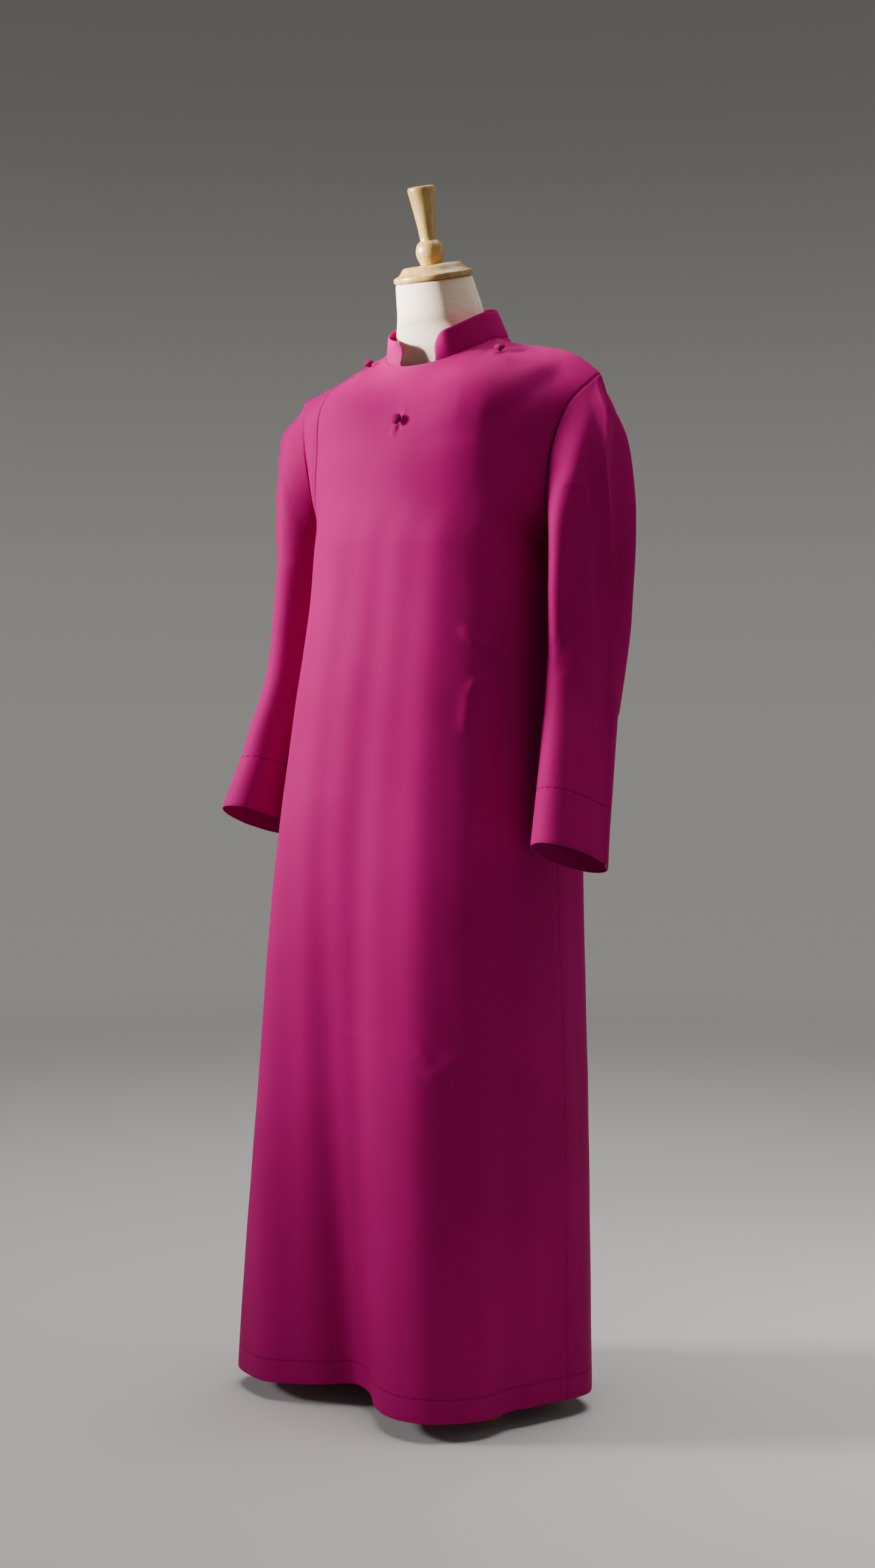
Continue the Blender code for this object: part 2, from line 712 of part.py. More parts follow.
def form_ring(height, centre_y, half_width, half_depth, power, steps):
    ring = []
    for step in range(steps):
        turn = 2 * math.pi * step / steps
        c, s = math.cos(turn), math.sin(turn)
        radius = (abs(c / half_width) ** power + abs(s / half_depth) ** power) ** (-1.0 / power)
        ring.append((FORM_CENTRE_X + radius * c, centre_y + radius * s, height))
    return ring


def neck_axis():
    return np.array((0.0, -math.sin(NECK_TILT), math.cos(NECK_TILT)))


def make_form(linen):
    table = np.array(FORM_SECTIONS)
    torso = np.linspace(table[0, 0], FORM_CHEST, TORSO_ROWS)
    shoulders = np.linspace(FORM_SHOULDER, table[-1, 0], SHOULDER_ROWS)
    rings = []
    for height in np.concatenate((torso, shoulders)):
        values = smooth_between(table[:, 0], table[:, 1:], height)
        rings.append(form_ring(height, *values, ROUND_STEPS))
    axis = neck_axis()
    ahead = np.cross(axis, LEFTWARD)
    root, crown = np.array(NECK_ROOT), np.array(NECK_TOP)
    for share in (0.35, 0.7, 1.0):
        radius = NECK_ROOT_RADIUS + (NECK_TOP_RADIUS - NECK_ROOT_RADIUS) * share ** 0.8
        centre = root + (crown - root) * share
        ring = []
        for step in range(ROUND_STEPS):
            turn = 2 * math.pi * step / ROUND_STEPS
            ring.append(centre + LEFTWARD * radius * math.cos(turn) + ahead * radius * math.sin(turn))
        rings.append(ring)
    build = bmesh.new()
    loops = [[build.verts.new(point) for point in ring] for ring in rings]
    for low, high in zip(loops, loops[1:]):
        for k in range(ROUND_STEPS):
            nxt = (k + 1) % ROUND_STEPS
            build.faces.new((low[k], low[nxt], high[nxt], high[k]))
    build.faces.new(loops[0][::-1])
    build.faces.new(loops[-1])
    face_outwards(build)
    add_object("form_torso", build, linen)


def make_cap_and_finial(wood):
    axis = neck_axis()
    top = np.array(NECK_TOP) + axis * SEAM_GAP
    for name, outline in (("neck_cap", CAP_OUTLINE), ("neck_finial", FINIAL_OUTLINE)):
        build = spun(outline, ROUND_STEPS)
        place_along(build, top, axis)
        add_object(name, build, wood)


def make_stand(wood, metal):
    hub_outline = ((0.0, 0.0), (HUB_RADIUS, 0.0), (HUB_RADIUS, HUB_SHOULDER), (HUB_TOP_RADIUS, HUB_HEIGHT),
                   (0.0, HUB_HEIGHT))
    add_object("stand_hub", spun(hub_outline, ROUND_STEPS), wood)
    pole_foot = HUB_HEIGHT + SEAM_GAP
    pole_top = FORM_SECTIONS[0][0] - SEAM_GAP
    pole_outline = ((0.0, pole_foot), (POLE_RADIUS, pole_foot), (POLE_RADIUS, pole_top), (0.0, pole_top))
    add_object("stand_pole", spun(pole_outline, POLE_STEPS), metal)
    leg_root = HUB_RADIUS + SEAM_GAP
    half = LEG_WIDTH / 2
    for count, angle in enumerate(LEG_ANGLES, 1):
        build = bmesh.new()
        outline = [(leg_root, -half)]
        for step in range(9):
            turn = math.pi * (step / 8 - 0.5)
            outline.append((LEG_REACH - half + half * math.cos(turn), half * math.sin(turn)))
        outline.append((leg_root, half))
        foot = build.faces.new([build.verts.new((x, y, 0.0)) for x, y in outline])
        raised = bmesh.ops.extrude_face_region(build, geom=[foot])
        moved = [item for item in raised["geom"] if isinstance(item, bmesh.types.BMVert)]
        bmesh.ops.translate(build, verts=moved, vec=(0, 0, LEG_HEIGHT))
        turn = math.radians(angle)
        for vert in build.verts:
            x, y, z = vert.co
            vert.co = (x * math.cos(turn) - y * math.sin(turn), x * math.sin(turn) + y * math.cos(turn), z)
        face_outwards(build)
        add_object(f"stand_leg_{count}", build, wood)


for old in list(bpy.data.objects):
    bpy.data.objects.remove(old, do_unlink=True)

purple = plain_material("cassock_cloth", (0.46, 0.020, 0.155), 0.62)
ivory = plain_material("form_linen", (0.78, 0.73, 0.66), 0.85)
beech = plain_material("turned_beech", (0.62, 0.43, 0.24), 0.42)
steel = plain_material("pole_steel", (0.55, 0.55, 0.56), 0.35)
make_body(purple)
make_sleeves(purple)
make_collar(purple)
make_buttons(purple)
make_form(ivory)
make_cap_and_finial(beech)
make_stand(beech, steel)
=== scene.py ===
"""The looks of a bishop's-purple cassock on a limbless dress form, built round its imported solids.

Metres, +Z up, the wearer facing -Y, so the wearer's left is +X. The file follows the object as it is
put together: stand, form and its turned cap, then the cassock's panels, sleeves, collar and buttons.
"""
import math

import bmesh
import bpy
import numpy as np
from mathutils import Matrix, Vector


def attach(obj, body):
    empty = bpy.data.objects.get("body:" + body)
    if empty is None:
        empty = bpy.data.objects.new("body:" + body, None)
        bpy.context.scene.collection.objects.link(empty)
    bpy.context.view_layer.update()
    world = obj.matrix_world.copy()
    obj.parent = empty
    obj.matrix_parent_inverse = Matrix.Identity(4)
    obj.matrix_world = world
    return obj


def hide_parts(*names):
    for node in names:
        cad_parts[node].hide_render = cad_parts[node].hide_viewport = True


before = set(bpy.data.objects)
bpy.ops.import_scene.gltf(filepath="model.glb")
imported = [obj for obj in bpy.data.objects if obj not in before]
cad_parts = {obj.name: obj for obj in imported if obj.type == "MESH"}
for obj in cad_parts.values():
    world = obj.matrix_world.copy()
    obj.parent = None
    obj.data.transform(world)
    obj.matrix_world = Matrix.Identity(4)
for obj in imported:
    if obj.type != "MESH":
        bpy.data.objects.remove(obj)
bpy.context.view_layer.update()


# Hub and legs of the stand
# A turned beech hub with three flat beech legs dowelled into it, satin lacquered. They stand on the
# floor under the skirt, and only a leg's rounded tip shows beside the hem.
class Reading:
    """A value or a colour on its way through a finish. Sums on it add the nodes that work them out."""

    def __init__(self, finish, socket):
        self.finish = finish
        self.socket = socket

    def sum(self, operation, *values):
        """Adds one node of shader maths."""
        return self.finish.node("ShaderNodeMath", {"operation": operation}, dict(enumerate(values)))

    def __add__(self, other):
        return self.sum("ADD", self, other)

    def __sub__(self, other):
        return self.sum("SUBTRACT", self, other)

    def __mul__(self, other):
        return self.sum("MULTIPLY", self, other)

    def __rsub__(self, other):
        return self.sum("SUBTRACT", other, self)

    __radd__ = __add__
    __rmul__ = __mul__

    def size(self):
        return self.sum("ABSOLUTE", self)

    def wave(self):
        return self.sum("SINE", self)

    def faded(self, full, none):
        """One where the value is at full, falling smoothly to nothing at none."""
        ends = {"Value": self, "From Min": none, "From Max": full}
        return self.finish.node("ShaderNodeMapRange", {"interpolation_type": "SMOOTHSTEP"}, ends)


class Finish:
    """A material and its nodes."""

    def __init__(self, name, roughness, **uniform):
        self.material = bpy.data.materials.new(name)
        self.material.use_nodes = True
        self.tree = self.material.node_tree
        self.shader = self.tree.nodes["Principled BSDF"]
        self.shader.inputs["Roughness"].default_value = roughness
        for socket, value in uniform.items():
            self.shader.inputs[socket.replace("_", " ")].default_value = value

    def node(self, kind, settings, sockets, output=0):
        """Adds a node with its settings and its sockets, and gives back one of its outputs."""
        node = self.tree.nodes.new(kind)
        for setting, value in settings.items():
            setattr(node, setting, value)
        for socket, value in sockets.items():
            if isinstance(value, Reading):
                self.tree.links.new(value.socket, node.inputs[socket])
            else:
                node.inputs[socket].default_value = value
        return Reading(self, node.outputs[output])

    def place(self, turn=(0, 0, 0), scale=(1, 1, 1)):
        """Where a point of the piece is, turned and stretched."""
        here = self.node("ShaderNodeTexCoord", {}, {}, "Object")
        return self.node("ShaderNodeMapping", {}, {"Vector": here, "Rotation": turn, "Scale": scale})

    def axes(self, where, *wanted):
        """The parts of a place: 0 for X, 1 for Y and 2 for Z."""
        return [self.node("ShaderNodeSeparateXYZ", {}, {"Vector": where}, part) for part in wanted]

    def cloth_axes(self):
        """How far across and along its cloth a point is, in metres."""
        return self.axes(self.node("ShaderNodeUVMap", {"uv_map": "cloth"}, {}), 0, 1)

    def noise(self, where, scale, detail=2.0):
        return self.node("ShaderNodeTexNoise", {}, {"Vector": where, "Scale": scale, "Detail": detail})

    def blend(self, share, first, second):
        """A colour between two others."""
        colours = [c if isinstance(c, Reading) else (*c, 1.0) for c in (first, second)]
        return self.node("ShaderNodeMix", {"data_type": "RGBA"}, {0: share, 6: colours[0], 7: colours[1]}, 2)

    def join(self, **readings):
        """Leads each reading to the shader's socket of that name."""
        for socket, reading in readings.items():
            self.tree.links.new(reading.socket, self.shader.inputs[socket.replace("_", " ")])

    def dress(self, colour, relief, depth, roughness):
        """Gives the shader its colour, its relief of a depth in metres and its roughness."""
        bumped = self.node("ShaderNodeBump", {}, {"Height": relief, "Distance": depth, "Strength": 1.0})
        self.join(Base_Color=colour, Normal=bumped, Roughness=roughness)


beech_deep = (0.37, 0.210, 0.050)
beech_pale = (0.48, 0.305, 0.090)
beech_fleck = (0.22, 0.11, 0.035)
beech_relief = 0.0002


def turned_beech(name, turn):
    """Satin-lacquered beech with its grain along the turning's axis, and the short dark flecks of beech."""
    wood = Finish(name, 0.36, Coat_Weight=0.25, Coat_Roughness=0.22)
    grain = wood.noise(wood.place(turn, (1.0, 1.0, 0.08)), 95.0, 4.0)
    flecks = wood.noise(wood.place(turn, (1.0, 1.0, 0.22)), 420.0, 1.0).faded(0.72, 0.62)
    grained = wood.blend(grain.faded(0.68, 0.36), beech_deep, beech_pale)
    colour = wood.blend(flecks * 0.45, grained, beech_fleck)
    wood.dress(colour, grain * 0.6 - flecks * 0.4, beech_relief, 0.30 + 0.14 * grain)
    return wood.material


def eased(shape, least_angle, width):
    """Rounds the edges that are sharper than an angle in degrees."""
    corners = [e for e in shape.edges if e.calc_face_angle(0.0) > math.radians(least_angle)]
    bmesh.ops.bevel(shape, geom=corners, offset=width, offset_type="OFFSET", segments=3, profile=0.5,
                    affect="EDGES", clamp_overlap=True, material=-1)


def spun(outline, steps):
    """A surface turned round Z from its outline of radius and height."""
    shape = bmesh.new()
    points = [shape.verts.new((radius, 0.0, height)) for radius, height in outline]
    edges = [shape.edges.new(pair) for pair in zip(points, points[1:])]
    bmesh.ops.spin(shape, geom=points + edges, cent=(0, 0, 0), axis=(0, 0, 1), angle=2 * math.pi,
                   steps=steps, use_merge=True, use_duplicate=False)
    bmesh.ops.remove_doubles(shape, verts=shape.verts, dist=1e-6)
    bmesh.ops.recalc_face_normals(shape, faces=shape.faces)
    return shape


def turned(outline, steps, edge):
    """A solid turned from its outline, with its corners eased."""
    shape = spun(outline, steps)
    eased(shape, 38, edge)
    return shape


def dressed(shape, name, material, node):
    """Makes a finished shape a piece that stands for its solid."""
    mesh = bpy.data.meshes.new(name)
    shape.to_mesh(mesh)
    shape.free()
    mesh.shade_smooth()
    mesh.set_sharp_from_angle(angle=math.radians(46))
    mesh.materials.append(material)
    piece = bpy.data.objects.new(name, mesh)
    bpy.context.scene.collection.objects.link(piece)
    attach(piece, "root")
    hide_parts(node)
    return piece


hub_radius = 0.050
hub_height = 0.045
stand_edge = 0.0012
joint_gap = 0.0003
leg_half_width = 0.015
leg_thickness = 0.0165
leg_tip = 0.157
leg_angles = (-36.0, 84.0, 204.0)

hub_outline = ((0.0, 0.0), (hub_radius, 0.0), (hub_radius, 0.0315), (0.0465, 0.0345),
               (0.035, hub_height), (0.0, hub_height))
stand_beech = turned_beech("stand beech", (0.0, 0.0, 0.0))
dressed(turned(hub_outline, 64, stand_edge), "hub", stand_beech, "stand_hub")

for count, leg_angle in enumerate(leg_angles, 1):
    leg = bmesh.new()
    bmesh.ops.create_circle(leg, cap_ends=True, radius=leg_half_width, segments=36)
    for vert in leg.verts:
        inner = vert.co.x < -1e-6
        vert.co.x = hub_radius + joint_gap if inner else vert.co.x + leg_tip
        if inner:
            vert.co.y = math.copysign(leg_half_width, vert.co.y)
    bmesh.ops.remove_doubles(leg, verts=leg.verts, dist=1e-5)
    extruded = bmesh.ops.extrude_face_region(leg, geom=leg.faces[:])["geom"]
    upper = [part for part in extruded if isinstance(part, bmesh.types.BMVert)]
    bmesh.ops.translate(leg, verts=upper, vec=(0, 0, leg_thickness))
    bmesh.ops.recalc_face_normals(leg, faces=leg.faces)
    eased(leg, 60, stand_edge)
    about_hub = Matrix.Rotation(math.radians(leg_angle), 3, "Z")
    bmesh.ops.rotate(leg, verts=leg.verts, cent=(0, 0, 0), matrix=about_hub)
    dressed(leg, f"leg_{count}", stand_beech, f"stand_leg_{count}")


# Pole of the stand
# A 28 mm satin steel tube, pushed into the hub and up into the foot of the form. The skirt hides it
# from most sides.
pole_radius = 0.014
pole_foot = hub_height + joint_gap
pole_top = 0.5997
steel_relief = 0.00003

pole_steel = Finish("pole steel", 0.32, Metallic=1.0)
drawn = pole_steel.noise(pole_steel.place((0, 0, 0), (1.0, 1.0, 0.02)), 700.0, 1.0)
steel_colour = pole_steel.blend(drawn, (0.50, 0.50, 0.51), (0.60, 0.60, 0.61))
pole_steel.dress(steel_colour, drawn, steel_relief, 0.26 + 0.12 * drawn)
pole_outline = ((0.0, pole_foot), (pole_radius, pole_foot), (pole_radius, pole_top), (0.0, pole_top))
dressed(turned(pole_outline, 48, 0.0008), "pole", pole_steel.material, "stand_pole")


# Dress form
# A limbless form of rigid foam under stretched ivory linen, which is sewn down both sides. Its shoulders
# are smooth and closed, and its neck leans forward.
def curve_weights(stations, at):
    """How much of each station's row a smooth curve takes at each place along it."""
    stations = np.asarray(stations, float)
    at = np.clip(at, stations[0], stations[-1])
    count = len(stations)
    index = np.clip(np.searchsorted(stations, at) - 1, 0, count - 2)
    span = (stations[1:] - stations[:-1])[index]
    share = (at - stations[index]) / span
    slopes = np.zeros((count, count))
    for k in range(count):
        low, high = max(k - 1, 0), min(k + 1, count - 1)
        slopes[k, high] += 1.0 / (stations[high] - stations[low])
        slopes[k, low] -= 1.0 / (stations[high] - stations[low])
    rise = (3 * share ** 2 - 2 * share ** 3)[..., None]
    lead = (share ** 3 - 2 * share ** 2 + share)[..., None] * span[..., None]
    tail = (share ** 3 - share ** 2)[..., None] * span[..., None]
    own = np.eye(count)
    return own[index] * (1 - rise) + own[index + 1] * rise + slopes[index] * lead + slopes[index + 1] * tail


def in_metres(points):
    """Each point's distance across and along the cloth, from the grid's first column and first row."""
    across = np.linalg.norm(np.diff(points, axis=1), axis=2)
    along = np.linalg.norm(np.diff(points, axis=0), axis=2)
    u = np.concatenate((np.zeros((len(points), 1)), np.cumsum(across, axis=1)), axis=1)
    v = np.concatenate((np.zeros((1, points.shape[1])), np.cumsum(along, axis=0)), axis=0)
    return u, v


def laid_grid(points):
    """A grid of faces with its corners at the points, rows upwards, and its UV map in metres."""
    rows, columns = points.shape[:2]
    shape = bmesh.new()
    layer = shape.loops.layers.uv.new("cloth")
    bmesh.ops.create_grid(shape, x_segments=columns - 1, y_segments=rows - 1, size=0.5)
    u, v = in_metres(points)
    seat = {}
    for vert in shape.verts:
        seat[vert] = (round((vert.co.y + 0.5) * (rows - 1)), round((vert.co.x + 0.5) * (columns - 1)))
    for face in shape.faces:
        for loop in face.loops:
            row, column = seat[loop.vert]
            loop[layer].uv = (u[row, column], v[row, column])
    for vert, (row, column) in seat.items():
        vert.co = points[row, column]
    return shape


def grid_normals(points):
    """The direction out of the cloth at each of its points."""
    normals = np.cross(np.gradient(points, axis=1), np.gradient(points, axis=0))
    return normals / np.maximum(np.linalg.norm(normals, axis=2, keepdims=True), 1e-12)


def raised(points, height):
    """The cloth with its points moved out along its own normals."""
    return points + grid_normals(points) * np.asarray(height)[..., None]


def squared_ring(turn, half_width, half_depth, power):
    """How far a squared oval reaches at each angle."""
    across = np.abs(np.cos(turn) / half_width) ** power
    return (across + np.abs(np.sin(turn) / half_depth) ** power) ** (-1.0 / power)


form_sizes = np.array((
    # height, centre_y, half_width, half_depth, squareness
    (0.600, -0.004, 0.140, 0.098, 2.2),
    (0.640, -0.004, 0.150, 0.106, 2.2),
    (0.780, -0.004, 0.158, 0.118, 2.2),
    (0.900, -0.006, 0.142, 0.106, 2.1),
    (1.000, -0.006, 0.130, 0.098, 2.1),
    (1.100, -0.006, 0.143, 0.108, 2.1),
    (1.200, -0.006, 0.162, 0.118, 2.2),
    (1.270, -0.006, 0.172, 0.108, 2.1),
    (1.320, -0.004, 0.176, 0.086, 2.0),
    (1.345, -0.003, 0.163, 0.067, 2.0),
    (1.366, -0.003, 0.138, 0.059, 2.0),
    (1.384, -0.008, 0.098, 0.055, 2.0),
    (1.402, -0.012, 0.073, 0.054, 2.0),
    (1.424, -0.0155, 0.064, 0.058, 2.0),
))
neck_lean = math.radians(14.0)
neck_root = np.array((0.0, -0.0165, 1.428))
neck_top = np.array((0.0, -0.0388, 1.4917))
neck_axis = np.array((0.0, -math.sin(neck_lean), math.cos(neck_lean)))
neck_ahead = np.cross(neck_axis, (1.0, 0.0, 0.0))
neck_rings = (
    # share of the way up, radius
    (0.35, 0.0579),
    (0.70, 0.0545),
    (0.985, 0.0517),
    (1.0, 0.0507),
)
form_shift = -0.002
form_seam_turn = 0.13
form_seam_reach = 0.055
form_seam_depth = 0.0007
form_seam_width = 0.0020

turn = np.linspace(0.0, 2 * math.pi, 97)
form_rings = []
for height, centre_y, half_width, half_depth, power in form_sizes:
    reach = squared_ring(turn, half_width, half_depth, power)
    form_rings.append(np.stack((reach * np.cos(turn) + form_shift, reach * np.sin(turn) + centre_y,
                                np.full_like(turn, height)), axis=1))
for share, radius in neck_rings:
    centre = neck_root + (neck_top - neck_root) * share
    ring = np.outer(np.cos(turn), (1.0, 0.0, 0.0)) + np.outer(np.sin(turn), neck_ahead)
    form_rings.append(centre + radius * ring)
form_rings = np.array(form_rings)
steps = np.concatenate(((0.0,), np.cumsum(np.linalg.norm(np.diff(form_rings, axis=0), axis=2).mean(axis=1))))
stations = np.concatenate((np.linspace(0.0, steps[-3], 110), np.linspace(steps[-3], steps[-1], 14)[1:]))
form_points = np.einsum("nk,kjc->njc", curve_weights(steps, stations), form_rings)
from_seam = np.minimum(np.abs(turn - form_seam_turn), np.abs(turn - math.pi + form_seam_turn))[None, :]
form_seam = np.exp(-(from_seam * form_seam_reach / form_seam_width) ** 2)
form_points = raised(form_points, -form_seam_depth * form_seam)
form_points[:, -1] = form_points[:, 0]
form = laid_grid(form_points)
bmesh.ops.remove_doubles(form, verts=form.verts, dist=1e-5)
bmesh.ops.holes_fill(form, edges=[e for e in form.edges if e.is_boundary], sides=0)
bmesh.ops.recalc_face_normals(form, faces=form.faces)

linen_deep = (0.86, 0.66, 0.49)
linen_pale = (0.94, 0.75, 0.58)
linen_soiled = (0.78, 0.62, 0.46)
linen_relief = 0.00035
linen_thread = 5200.0
linen = Finish("form linen", 0.86, Sheen_Weight=0.15, Sheen_Roughness=0.6)
warp, weft = [(axis * linen_thread).wave() for axis in linen.cloth_axes()]
slub = linen.noise(linen.place((0, 0, 0), (1.0, 1.0, 9.0)), 60.0, 3.0)
soil = linen.noise(linen.place(), 7.0, 3.0)
linen_colour = linen.blend(slub.faded(0.75, 0.30), linen_deep, linen_pale)
linen_colour = linen.blend(soil.faded(0.75, 0.40) * 0.25, linen_colour, linen_soiled)
linen.dress(linen_colour, warp * 0.2 + weft * 0.2 + slub, linen_relief, 0.82 + 0.10 * slub)
dressed(form, "form", linen.material, "form_torso")


# Neck cap and finial
# Two beech turnings in the same satin lacquer: an ogee moulding that caps the neck, and a ball with a
# flared handle screwed into it. They lean with the neck.
cap_outline = ((0.0, 0.0), (0.0505, 0.0), (0.0527, 0.0010), (0.0535, 0.0024), (0.0535, 0.0064),
               (0.0532, 0.0074), (0.0522, 0.0084), (0.0500, 0.0093), (0.0472, 0.0104), (0.0450, 0.0119),
               (0.0434, 0.0137), (0.0421, 0.0157), (0.0408, 0.0177), (0.0393, 0.0193), (0.0372, 0.0202),
               (0.0345, 0.0205), (0.0, 0.0205))
finial_outline = ((0.0, 0.0208), (0.0148, 0.0208), (0.0149, 0.0225), (0.0156, 0.0248), (0.0170, 0.0280),
                  (0.0182, 0.0316), (0.0188, 0.0358), (0.0187, 0.0402), (0.0177, 0.0445), (0.0159, 0.0482),
                  (0.0136, 0.0508), (0.0114, 0.0520), (0.0109, 0.0534), (0.0109, 0.0570), (0.0119, 0.0690),
                  (0.0135, 0.0820), (0.0152, 0.0950), (0.0170, 0.1070), (0.0182, 0.1150), (0.0186, 0.1190),
                  (0.0184, 0.1214), (0.0174, 0.1231), (0.0150, 0.1240), (0.0, 0.1240))
leaning_beech = turned_beech("leaning beech", (-neck_lean, 0.0, 0.0))
for name, outline, node in (("cap", cap_outline, "neck_cap"), ("finial", finial_outline, "neck_finial")):
    turning = turned(outline, 72, 0.0005)
    bmesh.ops.rotate(turning, verts=turning.verts, cent=(0, 0, 0), matrix=Matrix.Rotation(neck_lean, 3, "X"))
    bmesh.ops.translate(turning, verts=turning.verts, vec=neck_top + neck_axis * joint_gap)
    dressed(turning, name, leaning_beech, node)


# Back of the cassock
# One panel of fine matt-satin twill from the hem to the shoulder seams and the neckline, falling in
# long soft folds from the seat. Its hem is turned up 30 mm inside and blind stitched.
cloth_thickness = 0.0014
hem_height = 0.024
hem_depth = 0.030
armpit_height = 1.135
body_sizes = np.array((
    # height, centre_x, centre_y, half_width, half_depth, squareness
    (hem_height, -0.018, -0.042, 0.230, 0.184, 2.1),
    (0.200, -0.016, -0.041, 0.226, 0.180, 2.2),
    (0.450, -0.013, -0.036, 0.216, 0.175, 2.4),
    (0.700, -0.010, -0.031, 0.200, 0.168, 2.7),
    (0.920, -0.008, -0.021, 0.184, 0.157, 2.7),
    (1.050, -0.007, -0.013, 0.172, 0.147, 2.7),
    (armpit_height, -0.007, -0.009, 0.168, 0.142, 2.7),
))
skirt_folds = (
    # angle_at_hem, angle_at_top, depth_at_hem, half_width, top, hem_lift
    (206.0, 210.0, 0.030, 18.0, 1.00, 0.000),
    (261.0, 253.0, -0.066, 23.0, 0.80, 0.008),
    (309.0, 304.0, 0.038, 20.0, 1.08, 0.001),
    (347.0, 342.0, -0.012, 16.0, 0.60, 0.001),
    (12.0, 14.0, 0.010, 15.0, 0.60, 0.000),
    (42.0, 46.0, -0.016, 16.0, 0.75, 0.003),
    (66.0, 66.0, 0.018, 15.0, 0.90, 0.000),
    (93.0, 91.0, -0.030, 18.0, 0.85, 0.006),
    (122.0, 118.0, 0.024, 16.0, 0.95, 0.000),
    (150.0, 148.0, -0.018, 16.0, 0.70, 0.004),
    (174.0, 172.0, 0.006, 12.0, 0.60, 0.000),
)


def bump(distance, half_width):
    """One at the middle of a fold, falling smoothly to nothing beyond its edges."""
    share = np.minimum(np.abs(distance) / (1.6 * half_width), 1.0)
    return (1 - share ** 2) ** 2


def round_the_body(angle, height):
    """The cloth at an angle round the body, from the wearer's left by way of the back."""
    sizes = curve_weights(body_sizes[:, 0], height) @ body_sizes[:, 1:]
    centre_x, centre_y, half_width, half_depth, power = np.moveaxis(sizes, -1, 0)
    heading = np.radians(angle)
    reach = squared_ring(heading, half_width, half_depth, power)
    lift = 0.0
    for hem_angle, top_angle, depth, width, top, hem_lift in skirt_folds:
        share = np.clip((top - height) / (top - hem_height), 0.0, 1.0)
        middle = top_angle + (hem_angle - top_angle) * share
        shape = bump((angle - middle + 180.0) % 360.0 - 180.0, width)
        reach = reach + depth * shape * share ** 1.25
        lift = lift + hem_lift * shape * share ** 3
    x = centre_x + reach * np.cos(heading)
    y = centre_y + reach * np.sin(heading)
    return np.stack((x, y, height + lift), axis=-1)


yoke_drops = (0.080, 0.0)
yoke_levels = (-0.24, 0.0, 0.24, 0.50, 0.76, 1.0)
yoke_rows = {
    # half_width, side_y, middle_y, side_z, rise, middle_z, turn, from the armpit up
    "front": ((0.188, -0.046, -0.143, 1.185, 0.004, 1.190, 74.0),
              (0.199, -0.054, -0.138, 1.250, 0.014, 1.250, 64.0),
              (0.217, -0.040, -0.121, 1.310, 0.030, 1.312, 58.0)),
    "back": ((0.190, 0.050, 0.126, 1.185, 0.004, 1.190, 72.0),
             (0.203, 0.062, 0.124, 1.255, 0.012, 1.262, 62.0),
             (0.222, 0.046, 0.104, 1.312, 0.030, 1.350, 58.0)),
}
yoke_middle_x = -0.004
neck_half_width = 0.0815
neck_half_depth = 0.086
neck_middle_y = -0.006
neck_front_z = 1.371
neck_side_z = 1.411
neck_back_z = 1.430
neck_share = 0.40
shoulder_reach = 0.243
shoulder_tip = (-0.004, 1.352)
left_crown = 0.014
right_crown = -0.002


def neckline(degrees):
    """The neck seam, at an angle from the centre front towards the wearer's left."""
    front = np.cos(np.radians(degrees))
    climb = np.where(front > 0, neck_front_z - neck_side_z, neck_back_z - neck_side_z)
    x = neck_half_width * np.sin(np.radians(degrees))
    y = neck_middle_y - neck_half_depth * front
    return np.stack((x, y, neck_side_z + climb * np.abs(front) ** 1.3), axis=-1)


def shoulder_seam(across):
    """The shoulder seam, from the side of the neck out to the point of the shoulder."""
    side = np.sign(across)[..., None]
    slide = np.clip((np.abs(across) - neck_share) / (1 - neck_share), 0.0, 1.0)[..., None]
    start = neckline(90.0 * np.where(across < 0, -1.0, 1.0))
    tip_x = side * shoulder_reach + yoke_middle_x
    tip = np.concatenate((tip_x, *[np.full_like(side, part) for part in shoulder_tip]), axis=-1)
    crown = np.where(side > 0, left_crown, right_crown) * np.sin(math.pi * slide ** 1.8)
    return start + (tip - start) * slide + crown * np.array((0.0, 0.0, 1.0))


def panel(share, level, side):
    """A point of the front or the back: level 0 is the hem, 1 the armpit, 2 the shoulder and neck."""
    angle = 180.0 + 180.0 * share if side == "front" else 180.0 - 180.0 * share
    rows = [round_the_body(angle, np.full_like(angle, armpit_height - drop)) for drop in yoke_drops]
    across = 2 * share - 1
    for half_width, side_y, middle_y, side_z, rise, middle_z, widest in yoke_rows[side]:
        full = math.radians(widest)
        swing = across * full
        x = half_width * np.sin(swing) / math.sin(full) + yoke_middle_x
        y = side_y + (middle_y - side_y) * (np.cos(swing) - math.cos(full)) / (1 - math.cos(full))
        z = side_z + (middle_z - side_z) * (1 - across ** 2) + rise * bump(np.abs(across) - 0.45, 0.30)
        rows.append(np.stack((x, y, z), axis=-1))
    neck_angle = 90.0 * across / neck_share
    round_neck = neckline(neck_angle if side == "front" else 180.0 - neck_angle)
    rows.append(np.where((np.abs(across) <= neck_share)[..., None], round_neck, shoulder_seam(across)))
    weights = curve_weights(yoke_levels, np.maximum(level - 1, yoke_levels[0]))
    above = np.einsum("...k,k...c->...c", weights, np.array(rows))
    below = round_the_body(angle, hem_height + (armpit_height - hem_height) * np.clip(level, 0.0, 1.0))
    return np.where((level <= 1)[..., None], below, above)


chest_hollows = {
    # share, half_share, level, half_level, depth
    "front": ((0.900, 0.090, 1.52, 0.26, -0.0055), (0.740, 0.100, 1.55, 0.28, 0.005),
              (0.150, 0.070, 1.55, 0.28, -0.005)),
    "back": ((0.500, 0.200, 1.45, 0.33, -0.006),),
}


